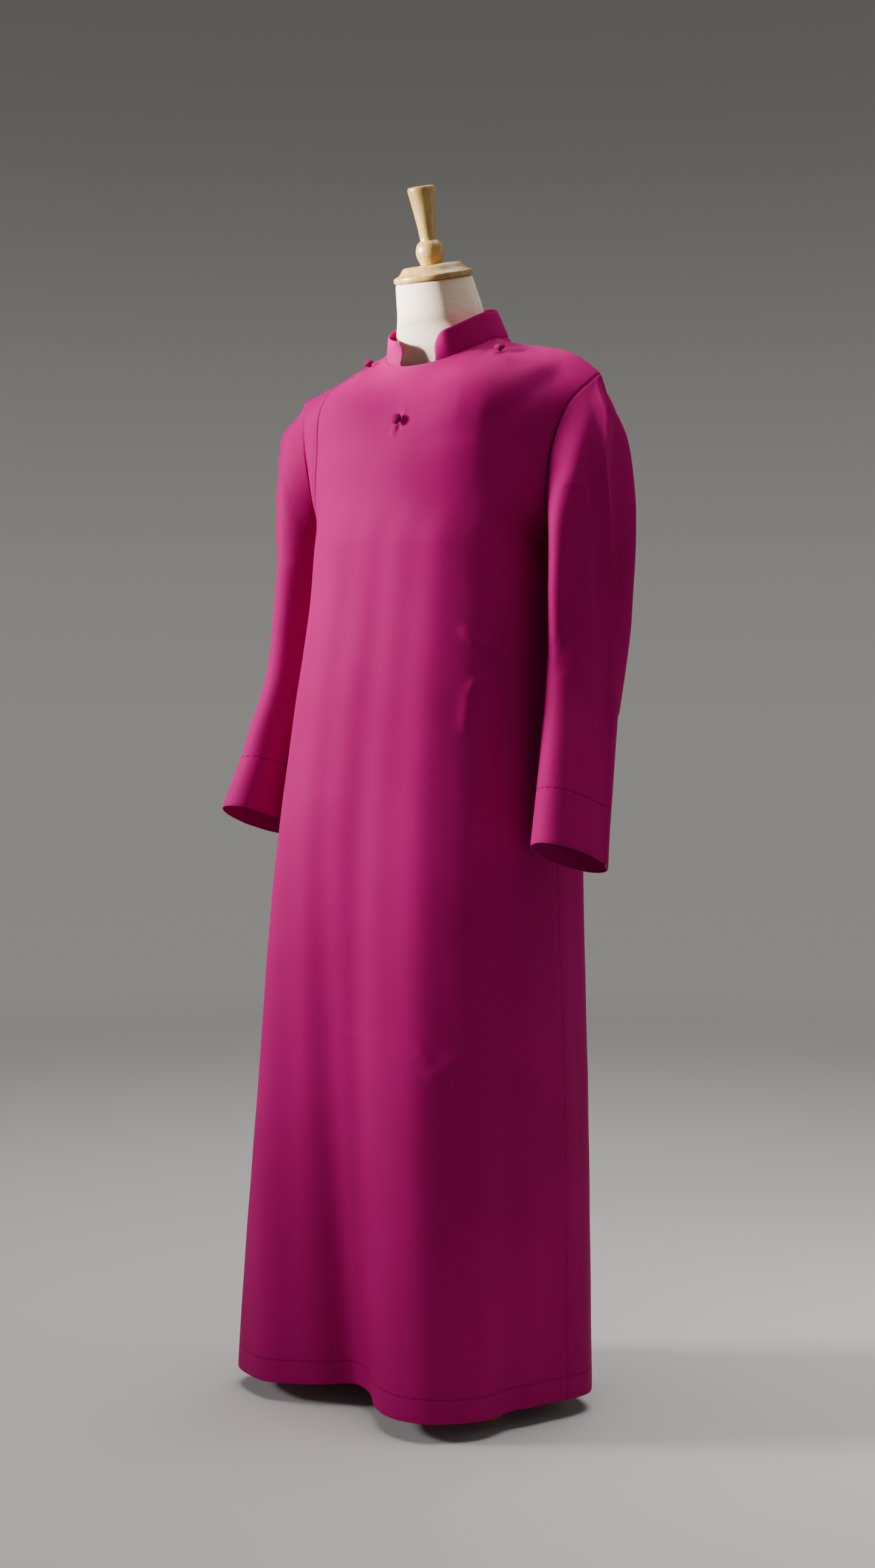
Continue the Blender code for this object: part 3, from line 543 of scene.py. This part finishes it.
def hollowed(points, share, level, side):
    """The panel with its hollows and swells, moved along its own normals."""
    depth = 0.0
    for middle, half_share, height, half_level, deep in chest_hollows[side]:
        depth = depth + deep * bump(share - middle, half_share) * bump(level - height, half_level)
    return raised(points, depth)


def stops(*runs):
    """Places along a run of cloth, from runs of (start, end, steps)."""
    places = [np.linspace(start, end, count + 1) for start, end, count in runs]
    return np.unique(np.round(np.concatenate(places), 7))


def hand_ripple(points):
    """The slight unevenness of cloth that hangs by its own weight."""
    x, y, z = np.moveaxis(points, -1, 0)
    slow = np.sin(19 * x + 6 * z + 1.3) * np.sin(23 * y - 4 * z)
    slow += 0.6 * np.sin(31 * x - 17 * y + 3.1 * z + 0.4)
    quick = np.sin(57 * x + 21 * z) * np.sin(49 * y + 27 * z + 0.8)
    return 0.0006 * slow + 0.00025 * quick


def long_fall(share, level):
    """The shallow upright waves of a skirt that hangs from the waist."""
    return 0.0013 * np.sin(56 * share + 2.0 * np.sin(2.4 * level)) * np.clip(1.3 - level, 0.0, 1.0)


seam_reach = 0.0022
seam_depth = 0.0011
held_reach = 0.03


def seam_roll(distance):
    """How the cloth turns in at a sewn edge."""
    return -seam_depth * np.exp(-(distance / seam_reach) ** 2)


def settled(points, sewn, hem, fall=0.0):
    """How cloth rests at its distances from the sewn edges and the hem, which hold it still."""
    free = np.clip(sewn / held_reach, 0.0, 1.0)
    return (hand_ripple(points) + fall) * free + seam_roll(sewn) + 0.6 * seam_roll(hem)


def cloth_wall(points, thickness=cloth_thickness):
    """A panel's outer face given its thickness inwards, with closed edges."""
    shape = laid_grid(points)
    inside = laid_grid(raised(points, -thickness))
    bmesh.ops.reverse_faces(inside, faces=inside.faces)
    spare = bpy.data.meshes.new("inside")
    inside.to_mesh(spare)
    inside.free()
    shape.from_mesh(spare)
    bpy.data.meshes.remove(spare)
    bmesh.ops.bridge_loops(shape, edges=[e for e in shape.edges if e.is_boundary])
    return shape


purple_deep = np.array((0.335, 0.0008, 0.108))
purple_middle = np.array((0.385, 0.0013, 0.130))
purple_bright = np.array((0.43, 0.003, 0.150))
twill_rib = 7400.0
stitch_reach = 0.0022
cloth_relief = 0.0008


def cassock_cloth(name, stitched_lines, painted_shade_tone=1.0):
    """Bishop's-purple matt-satin twill, drawn in along (axis, distance, depth, spacing of stitches). Each
    line is also painted darker, as painted shade in its groove.
    """
    cloth = Finish(name, 0.58, Specular_IOR_Level=0.03)
    axes = cloth.cloth_axes()
    twill = ((axes[0] + axes[1]) * twill_rib).wave()
    yarn = cloth.noise(cloth.place(), 900.0, 2.0)
    handled = cloth.noise(cloth.place(), 26.0, 4.0)
    slow = cloth.noise(cloth.place(), 4.5, 2.0)
    drawn_in_and_shade = 0.0
    for axis, distance, depth, spacing in stitched_lines:
        across = (axes[axis] - distance).size()
        stitched = (axes[1 - axis] * (2 * math.pi / spacing)).wave() * 0.5 + 0.5
        drawn_in_and_shade = drawn_in_and_shade + across.faded(0.0, stitch_reach) * (0.45 + 0.55 * stitched) * depth
    colour = cloth.blend(slow.faded(0.70, 0.30), purple_deep * painted_shade_tone, purple_middle * painted_shade_tone)
    colour = cloth.blend(yarn.faded(0.75, 0.35) * 0.18, colour, purple_bright * painted_shade_tone)
    # painted shade: each stitched line and edge line is painted darker, towards purple_deep * 0.45, as the
    # shade in its groove
    colour = cloth.blend(drawn_in_and_shade * 0.6, colour, purple_deep * 0.45 * painted_shade_tone)
    relief = twill * 0.04 + yarn * 0.07 + handled * 0.45 - drawn_in_and_shade
    cloth.dress(colour, relief, cloth_relief, 0.50 + 0.12 * handled)
    return cloth.material


hem_line = (1, hem_depth, 0.95, 0.013)
panel_cloth = cassock_cloth("panel twill", (hem_line,))
body_levels = stops((0.0, 0.0055, 4), (0.0055, 1.0, 220), (1.0, 1.985, 84), (1.985, 2.0, 4))
back_steps = stops((0.0, 0.012, 5), (0.012, 0.30, 36), (0.30, 0.70, 52), (0.70, 0.988, 36), (0.988, 1.0, 5))
back_level, back_share = np.meshgrid(body_levels, 1.0 - back_steps, indexing="ij")
back = hollowed(panel(back_share, back_level, "back"), back_share, back_level, "back")
u, v = in_metres(back)
sewn = np.minimum(np.minimum(u, u[:, -1:] - u), v[-1:] - v)
back = raised(back, settled(back, sewn, v, long_fall(back_share, back_level)))
cassock_back = dressed(cloth_wall(back), "cassock_back", panel_cloth, "back_panel")


# Right front of the cassock
# The underlap: a narrow panel from the right side seam, with its free edge hidden under the left
# front. It shows as a strip beside the closure, from the right shoulder to the hem.
closure_levels = (0.0, 0.55, 1.0, 1.30, 1.60, 1.85, 2.0)
closure_shares = np.array((0.085, 0.075, 0.070, 0.085, 0.143, 0.228, 0.2625))
lap_share = 0.3
underlap_drop = 0.0024


def closure(level):
    """Where the left front's edge runs, as a share of the front's width."""
    return curve_weights(closure_levels, level) @ closure_shares


under_steps = stops((0.0, 0.05, 5), (0.05, 1.0, 24), (1.0, 1.42, 10))
under_level, under_run = np.meshgrid(body_levels, under_steps, indexing="ij")
edge_share = closure(under_level)
lapped_share = edge_share + (under_run - 1) * (lap_share - edge_share)
under_share = np.where(under_run <= 1, under_run * edge_share, lapped_share)
under = hollowed(panel(under_share, under_level, "front"), under_share, under_level, "front")
u, v = in_metres(under)
sewn = np.minimum(u, v[-1:] - v)
under_relief = settled(under, sewn, v, long_fall(under_share, under_level))
under_relief -= underlap_drop * np.clip((under_run - 0.86) / 0.12, 0.0, 1.0)
under = raised(under, under_relief)
right_front = dressed(cloth_wall(under), "cassock_right_front", panel_cloth, "front_right_underlap")


# Left front of the cassock
# The overlap: the whole breast and skirt front in one panel, wrapped to the right shoulder, where its
# faced edge is stitched 10 mm in. Each button pinches the cloth, and wear has creased it at the
# wearer's left shoulder, waist and knee.
def at_front(share, level):
    """A point of the left front and the direction out of it."""
    near = np.array((-0.01, 0.0, 0.01))
    near_share, near_level = np.meshgrid(share + near, level + near)
    patch = hollowed(panel(near_share, near_level, "front"), near_share, near_level, "front")
    return patch[1, 1], grid_normals(patch)[1, 1]


def crease(points, start, end, depth, width):
    """How far a crease between two points lifts the cloth, highest along its middle."""
    axis = np.asarray(end) - start
    share = np.clip(((points - start) @ axis) / (axis @ axis), 0.0, 1.0)
    away = np.linalg.norm(points - start - share[..., None] * axis, axis=-1)
    return depth * np.exp(-(away / width) ** 2) * (4 * share * (1 - share)) ** 0.7


side_share = 0.7
facing_width = 0.0105
facing_rise = 0.0007
facing_slope = 0.004
facing_groove = 0.0013
groove_width = 0.0026
groove_shift = 0.0007
unstitched = 60.0  # stitches this far apart never show
closure_line = (0, facing_width, 0.90, 0.0042)
# painted shade: a thin dark line painted along the left front's free edge, for the shade in the gap under it
edge_line = (0, 0.0004, 0.80, unstitched)
front_cloth = cassock_cloth("left front twill", (hem_line, closure_line, edge_line))
run_steps = stops((0.0, 0.06, 6), (0.06, 0.50, 22), (0.50, 1.0, 10), (1.0, 1.50, 30), (1.50, 1.62, 22),
                  (1.62, 2.0, 26), (2.0, 2.96, 40), (2.96, 3.0, 5))
front_level, front_run = np.meshgrid(body_levels, run_steps, indexing="ij")
edge_share = closure(front_level)
beside_edge = edge_share + front_run * (lap_share - edge_share)
across_middle = lap_share + (front_run - 1) * (side_share - lap_share)
beside_seam = side_share + (front_run - 2) * (1 - side_share)
front_share = np.where(front_run <= 1, beside_edge, np.where(front_run <= 2, across_middle, beside_seam))
front = hollowed(panel(front_share, front_level, "front"), front_share, front_level, "front")

button_seats = {
    # share, level, node
    "chest_button": (0.523, 1.675, "button_chest"),
    "left_shoulder_button": (0.735, 1.930, "button_left_shoulder"),
    "right_shoulder_button": (0.300, 1.895, "button_right_shoulder"),
}
button_dent = 0.0010
button_dent_reach = 0.009
pinches = (
    # start_share, start_level, end_share, end_level, depth, half_width
    (0.527, 1.690, 0.542, 1.735, 0.0012, 0.0042),
    (0.533, 1.678, 0.558, 1.680, -0.0005, 0.0050),
    (0.523, 1.664, 0.525, 1.618, -0.0020, 0.0032),
    (0.516, 1.662, 0.505, 1.590, 0.0012, 0.0050),
    (0.514, 1.668, 0.465, 1.630, 0.0009, 0.0050),
    (0.742, 1.920, 0.790, 1.860, 0.0013, 0.0050),
    (0.306, 1.880, 0.335, 1.800, 0.0014, 0.0060),
)
wear_creases = (
    # columns as above: two rows for the shoulder, then four for the waist and six for the knee
    (0.930, 1.945, 0.795, 1.560, -0.0050, 0.0150),
    (0.880, 1.930, 0.760, 1.600, 0.0022, 0.0180),
    (0.742, 0.897, 0.788, 0.873, 0.0024, 0.0060),
    (0.788, 0.882, 0.834, 0.863, 0.0022, 0.0060),
    (0.784, 0.838, 0.763, 0.823, 0.0026, 0.0050),
    (0.765, 0.830, 0.755, 0.770, 0.0020, 0.0080),
    (0.668, 0.418, 0.712, 0.399, 0.0016, 0.0045),
    (0.678, 0.396, 0.740, 0.374, 0.0016, 0.0050),
    (0.693, 0.384, 0.765, 0.410, 0.0018, 0.0085),
    (0.560, 0.421, 0.700, 0.405, 0.0010, 0.0065),
    (0.715, 0.409, 0.900, 0.390, 0.0011, 0.0065),
    (0.420, 0.424, 0.560, 0.418, 0.0007, 0.0065),
)
front_relief = np.zeros(front.shape[:2])
for start_share, start_level, end_share, end_level, depth, width in pinches + wear_creases:
    start = at_front(start_share, start_level)[0]
    end = at_front(end_share, end_level)[0]
    front_relief += crease(front, start, end, depth, width)
for share, level, _ in button_seats.values():
    from_seat = np.linalg.norm(front - at_front(share, level)[0], axis=2)
    front_relief -= button_dent * np.exp(-(from_seat / button_dent_reach) ** 2)
u, v = in_metres(front)
sewn = np.minimum(u[:, -1:] - u, v[-1:] - v)
front_relief += settled(front, sewn, v, long_fall(front_share, front_level)) + 0.4 * seam_roll(u)
faced_edge = facing_rise * np.clip((facing_width - u) / facing_slope, 0.0, 1.0)
faced_edge -= facing_groove * np.exp(-((u - facing_width - groove_shift) / groove_width) ** 2)
front_relief += faced_edge * np.clip((front_level - 1.0) / 0.4, 0.15, 1.0)
front = raised(front, front_relief)
left_front = dressed(cloth_wall(front), "cassock_left_front", front_cloth, "front_left_overlap")


# Sleeves
# Each is cut in two: a wide top half and a narrow under half, sewn down the front and the back of the
# arm and set into the armhole. The cuff is faced inside, and its stitching shows 72 mm up.
sleeve_rings = (
    # x, y, z, half_depth, half_width, tilt, front_rise
    (0.2175, 0.001, 1.2150, 0.064, 0.0970, 64.0, 0.00),
    (0.2225, 0.002, 1.1750, 0.071, 0.0740, 55.0, 0.00),
    (0.2240, 0.001, 1.1150, 0.074, 0.0545, 42.0, 0.00),
    (0.2235, -0.004, 1.0350, 0.073, 0.0400, 22.0, 0.02),
    (0.2260, -0.020, 0.9350, 0.069, 0.0370, 2.0, 0.12),
    (0.2360, -0.048, 0.8500, 0.066, 0.0390, 0.0, 0.24),
    (0.2440, -0.072, 0.7830, 0.064, 0.0410, 0.0, 0.31),
    (0.2500, -0.090, 0.7270, 0.064, 0.0430, 0.0, 0.35),
)
sleeve_folds = (
    # place, depth, half_width, top, bottom, on the left, on the right
    (0.455, 0.006, 0.050, 1.34, 0.88, 1, 1),
    (0.535, -0.017, 0.055, 1.33, 0.94, 1, 1),
    (0.660, 0.010, 0.110, 1.30, 0.91, 1, 1),
    (0.240, 0.007, 0.070, 1.22, 1.00, 1, 0),
    (0.310, -0.006, 0.050, 1.20, 0.96, 1, 0),
    (0.300, 0.006, 0.100, 1.12, 0.86, 0, 1),
)
elbow_height = 1.10
right_cuff_lift = 0.036
right_cuff_swing = 0.004
right_head_bulge = 0.006
ridge_height = 0.0080
ridge_width = 0.011
ridge_levels = (0.0, 0.20, 0.35, 0.50, 0.65, 0.80, 0.92, 1.0)
ridge_places = np.array((0.548, 0.522, 0.498, 0.462, 0.436, 0.424, 0.456, 0.490))
ridge_dips = (
    # place beside the ridge, depth, width
    (0.044, 0.0060, 0.024),
    (-0.035, 0.0020, 0.020),
)


def pressed_ridge(place, level):
    """The sharp crease that pressing leaves down the outside of the arm, and the dips beside it."""
    away = place - curve_weights(ridge_levels, level) @ ridge_places
    height = ridge_height * np.exp(-np.abs(away) / ridge_width)
    for middle, depth, width in ridge_dips:
        height = height - depth * np.exp(-((away - middle) / width) ** 2)
    return height


def round_the_arm(place, level, side):
    """A point of a sleeve: level 0 is the cuff and 1 the armhole; place 0.5 is the outer line."""
    front_half = place <= 0.5
    climb = np.where(front_half, 2 * place, 2 - 2 * place)
    seam_share = np.full_like(place, 1.0 if side > 0 else 0.0)
    front_armhole = panel(seam_share, 1 + climb, "front")
    back_armhole = panel(seam_share, 1 + climb, "back")
    rings = [np.where(front_half[..., None], front_armhole, back_armhole)]
    across = -np.cos(2 * math.pi * place)[..., None]
    forward = np.sin(2 * math.pi * place)[..., None]
    for x, y, z, half_depth, half_width, tilt, front_rise in sleeve_rings:
        lean = math.radians(tilt)
        shorter = max(0.0, (elbow_height - z) / (elbow_height - sleeve_rings[-1][2])) if side < 0 else 0.0
        centre_x = side * (x + right_cuff_swing * shorter) + yoke_middle_x
        centre = np.array((centre_x, y, z + right_cuff_lift * shorter))
        outward = np.array((side * math.cos(lean), 0.0, math.sin(lean))) * half_width
        ahead = np.array((0.0, -1.0, front_rise)) * half_depth
        rings.append(centre + across * outward + forward * ahead)
    rings.reverse()
    weights = curve_weights(np.linspace(0.0, 1.0, len(rings)), level)
    return np.einsum("...k,k...c->...c", weights, np.array(rings))


cuff_line = (1, 0.072, 1.0, 0.011)
sleeve_cloth = cassock_cloth("sleeve twill", (cuff_line,))
seam_place = 1 / 6
top_half_steps = stops((0.0, 0.018, 4), (0.018, 0.36, 30), (0.36, 0.60, 72), (0.60, 0.982, 34),
                       (0.982, 1.0, 4))
under_half_steps = stops((0.0, 0.045, 4), (0.045, 0.955, 36), (0.955, 1.0, 4))
halves = {
    # first place, last place, steps across, flat width, flat length, area on the left
    "top": (seam_place, 1 - seam_place, top_half_steps, 0.26, 0.66, 0.1435),
    "under": (-seam_place, seam_place, under_half_steps, 0.14, 0.50, 0.060),
}
sleeve_levels = stops((0.0, 0.006, 3), (0.006, 0.985, 150), (0.985, 1.0, 6))
for side, word in ((1, "left"), (-1, "right")):
    for half, (first, last, across, flat_width, flat_length, area) in halves.items():
        run = across if side > 0 else 1 - across
        level, place = np.meshgrid(sleeve_levels, first + (last - first) * run, indexing="ij")
        whole = place % 1.0
        sleeve = round_the_arm(whole, level, side)
        height = sleeve[..., 2]
        depth = np.zeros_like(height)
        for middle, fold, half_width, top, bottom, on_left, on_right in sleeve_folds:
            share = np.clip((height - bottom) / (top - bottom), 0.0, 1.0)
            full = np.minimum(1.0, 4 * share * (1 - share) + 0.15) * (share > 0) * (share < 1)
            depth += fold * bump(whole - middle, half_width) * full * (on_left if side > 0 else on_right)
        depth += pressed_ridge(whole, level) * np.minimum(1.0, 0.35 + 2.0 * level)
        depth += right_head_bulge * bump(level - 0.92, 0.06) * bump(whole - 0.5, 0.12) * (side < 0)
        depth *= np.minimum(1.0, (1 - level) * 7.0)
        sleeve = raised(sleeve, depth)
        u, v = in_metres(sleeve)
        sewn = np.minimum(np.minimum(u, u[:, -1:] - u), v[-1:] - v)
        sleeve = cloth_wall(raised(sleeve, settled(sleeve, sewn, v)))
        piece = dressed(sleeve, f"{word}_sleeve_{half}", sleeve_cloth, f"sleeve_{word}_{half}")


# Standing collar
# A low band of twill over stiff interlining, 34 mm high at the back. It is slit on the right, and its
# two front ends are rounded away from the gap at the throat.
collar_height = 0.034
collar_right_drop = 0.009
collar_thickness = 0.0018
collar_forward = 0.012
collar_inward = 0.009
collar_end_share = 0.46
collar_end_angle = 12.0
collar_sewn_in = 0.0030
collar_edge_depth = 0.0007
collar_edge_reach = 0.0012
collar_rows = stops((0.0, 0.08, 4), (0.08, 0.92, 9), (0.92, 1.0, 3))


def collar_points(start, end, rounded_start, rounded_end, steps):
    """The collar's outer face between two angles along the neckline."""
    rise, angle = np.meshgrid(collar_rows, start + (end - start) * steps, indexing="ij")
    from_start = angle - start if rounded_start else np.full_like(angle, 90.0)
    from_end = end - angle if rounded_end else np.full_like(angle, 90.0)
    share = np.clip(np.minimum(from_start, from_end) / collar_end_angle, 0.0, 1.0)
    whole = collar_height - collar_right_drop * np.maximum(0.0, -np.sin(np.radians(angle)))
    rounded = np.sqrt(1 - (1 - share) ** 2)
    height = whole * (collar_end_share + (1 - collar_end_share) * rounded)
    forward = collar_forward * (collar_end_share + (1 - collar_end_share) * share) * rise
    base = neckline(angle)
    inward = np.stack((-base[..., 0], neck_middle_y - base[..., 1], np.zeros_like(rise)), axis=-1)
    inward /= np.linalg.norm(inward, axis=2, keepdims=True)
    lean = inward * (0.0005 + collar_inward * rise)[..., None]
    sewn_in = collar_sewn_in * np.clip(1 - rise / 0.08, 0.0, 1.0)
    return base + lean + np.stack((np.zeros_like(rise), -forward, 0.0008 + rise * height - sewn_in), axis=-1)


collar_cloth = cassock_cloth("collar twill", ((1, 0.0035, 0.25, 0.0030),))
band_steps = np.concatenate((0.16 * np.linspace(0, 1, 18) ** 2, np.linspace(0.16, 1, 96)[1:]))
end_steps = 1 - (np.linspace(0, 1, 30) ** 2)[::-1]
collar_pieces = {
    # node, start and end angle, which of them is rounded, steps, flat width, flat length, area
    "collar": ("collar_band", 24.5, 308.0, (True, False), band_steps, 0.44, 0.037, 0.0155),
    "collar_end": ("collar_right_end", 308.7, 347.0, (False, True), end_steps, 0.062, 0.032, 0.00185),
}
for name, (node, start, end, rounded, steps, flat_width, flat_length, area) in collar_pieces.items():
    band = collar_points(start, end, *rounded, steps)
    u, v = in_metres(band)
    edges = np.minimum(np.minimum(u, u[:, -1:] - u), v[-1:] - v)
    band = raised(band, -collar_edge_depth * np.exp(-(edges / collar_edge_reach) ** 2))
    piece = dressed(cloth_wall(band, collar_thickness), name, collar_cloth, node)


# Buttons
# Three shallow domed buttons covered in the cassock's twill, one on each shoulder and one on the
# breast. Each is sewn on by a short thread shank and stays buttoned.
button_radius = 0.0073
button_half_height = 0.0044
shank_radius = 0.0022
shank_height = 0.0012
button_gap = 0.0007

# painted shade: the buttons' twill is the cassock's twill with its colours painted darker, at 0.58, as the
# shade on the domes
button_cloth = cassock_cloth("button twill", (), 0.58)
button_outline = [(0.0, 0.0), (shank_radius, 0.0), (shank_radius, shank_height)]
for bend in np.linspace(0.42, math.pi - 0.06, 22):
    dome = button_half_height * (1.0 if bend > math.pi / 2 else 0.72)
    height = shank_height + button_half_height - dome * math.cos(bend)
    button_outline.append((button_radius * math.sin(bend), height))
button_outline.append((0.0, shank_height + 2 * button_half_height))
for name, (share, level, node) in button_seats.items():
    seat, facing = at_front(share, level)
    button = turned(button_outline, 40, 0.0002)
    stood = Vector(facing).to_track_quat("Z", "Y").to_matrix()
    bmesh.ops.rotate(button, verts=button.verts, cent=(0, 0, 0), matrix=stood)
    bmesh.ops.translate(button, verts=button.verts, vec=Vector(seat + facing * button_gap))
    dressed(button, name, button_cloth, node)


# Studio
# A plain pale floor that curves up into a grey wall all round; the far floor and the wall glow with
# painted light, brighter low down than at the top. One soft light stands at the wearer's right with a
# small one for the neck, a wide one hangs overhead, a weak one stands behind, and the camera is at the
# wearer's left.
floor_radius = 8.0
bowl_bend = 1.5
wall_radius = floor_radius + bowl_bend

bowl_outline = [(radius, 0.0) for radius in (0.0, 0.8, 1.6, 2.4, 3.2, 4.0, 5.0, 6.0, 7.0, floor_radius)]
for bend in np.linspace(0.0, math.pi / 2, 13)[1:]:
    bowl_outline.append((floor_radius + bowl_bend * math.sin(bend), bowl_bend * (1 - math.cos(bend))))
bowl_outline += [(wall_radius, height) for height in (3.0, 5.0, 7.5)]
bowl = spun(bowl_outline, 96)
paper_mesh = bpy.data.meshes.new("studio_paper")
bowl.to_mesh(paper_mesh)
bowl.free()
paper_mesh.shade_smooth()
black = (0.0, 0.0, 0.0)
floor_pale = (0.84, 0.83, 0.81)
wall_grey = (0.06, 0.06, 0.058)
low_glow = (0.245, 0.240, 0.228)
high_glow = (0.100, 0.097, 0.091)
paper = Finish("studio paper", 0.9, Specular_IOR_Level=0.1, Emission_Strength=1.0)
across, along, up = paper.axes(paper.place(), 0, 1, 2)
far = (across * across + along * along).faded(24.0, 1.0)
paper_colour = paper.blend(far, floor_pale, wall_grey)
# painted light: the far floor and the wall glow, from low_glow near the floor to the dimmer high_glow at the
# top
paper_glow = paper.blend(far, black, paper.blend(up.faded(4.8, 0.5), low_glow, high_glow))
paper.join(Base_Color=paper_colour, Emission_Color=paper_glow)
paper.material.cycles.emission_sampling = "NONE"
paper_mesh.materials.append(paper.material)
studio_paper = bpy.data.objects.new("studio_paper", paper_mesh)
bpy.context.scene.collection.objects.link(studio_paper)

lamps = (
    # name, place, aimed at, size, spread in degrees, watts
    ("key", (-2.80, -1.95, 2.00), (0.0, -0.05, 1.11), 1.05, 34.0, 14.2),
    ("neck", (-1.25, -1.25, 1.75), (0.0, -0.04, 1.50), 0.12, 11.0, 0.95),
    ("overhead", (0.1, 0.3, 3.8), (0.0, 0.1, 0.0), 3.0, 180.0, 103.0),
    ("rim", (2.4, 1.9, 1.7), (0.0, 0.0, 0.9), 1.2, 90.0, 1.0),
)
for name, place, aim, size, spread, watts in lamps:
    light = bpy.data.lights.new(name, "AREA")
    light.size = size
    light.spread = math.radians(spread)
    light.energy = watts
    lamp = bpy.data.objects.new(name, light)
    lamp.location = place
    lamp.rotation_euler = (Vector(aim) - Vector(place)).to_track_quat("-Z", "Y").to_euler()
    bpy.context.scene.collection.objects.link(lamp)
world = bpy.data.worlds.new("studio")
world.use_nodes = True
air = world.node_tree.nodes["Background"].inputs
air["Color"].default_value = (0.95, 0.97, 1.0, 1.0)
air["Strength"].default_value = 0.008
bpy.context.scene.world = world

eye_place = (1.8213, -2.6312, 0.900)
eye_turn = 35.0
lens = bpy.data.cameras.new("camera")
lens.lens = 54.22
lens.sensor_width = 36.0
lens.shift_y = -0.040
camera = bpy.data.objects.new("camera", lens)
camera.location = eye_place
camera.rotation_euler = (math.radians(90.0), 0.0, math.radians(eye_turn))
bpy.context.scene.collection.objects.link(camera)
bpy.context.scene.camera = camera
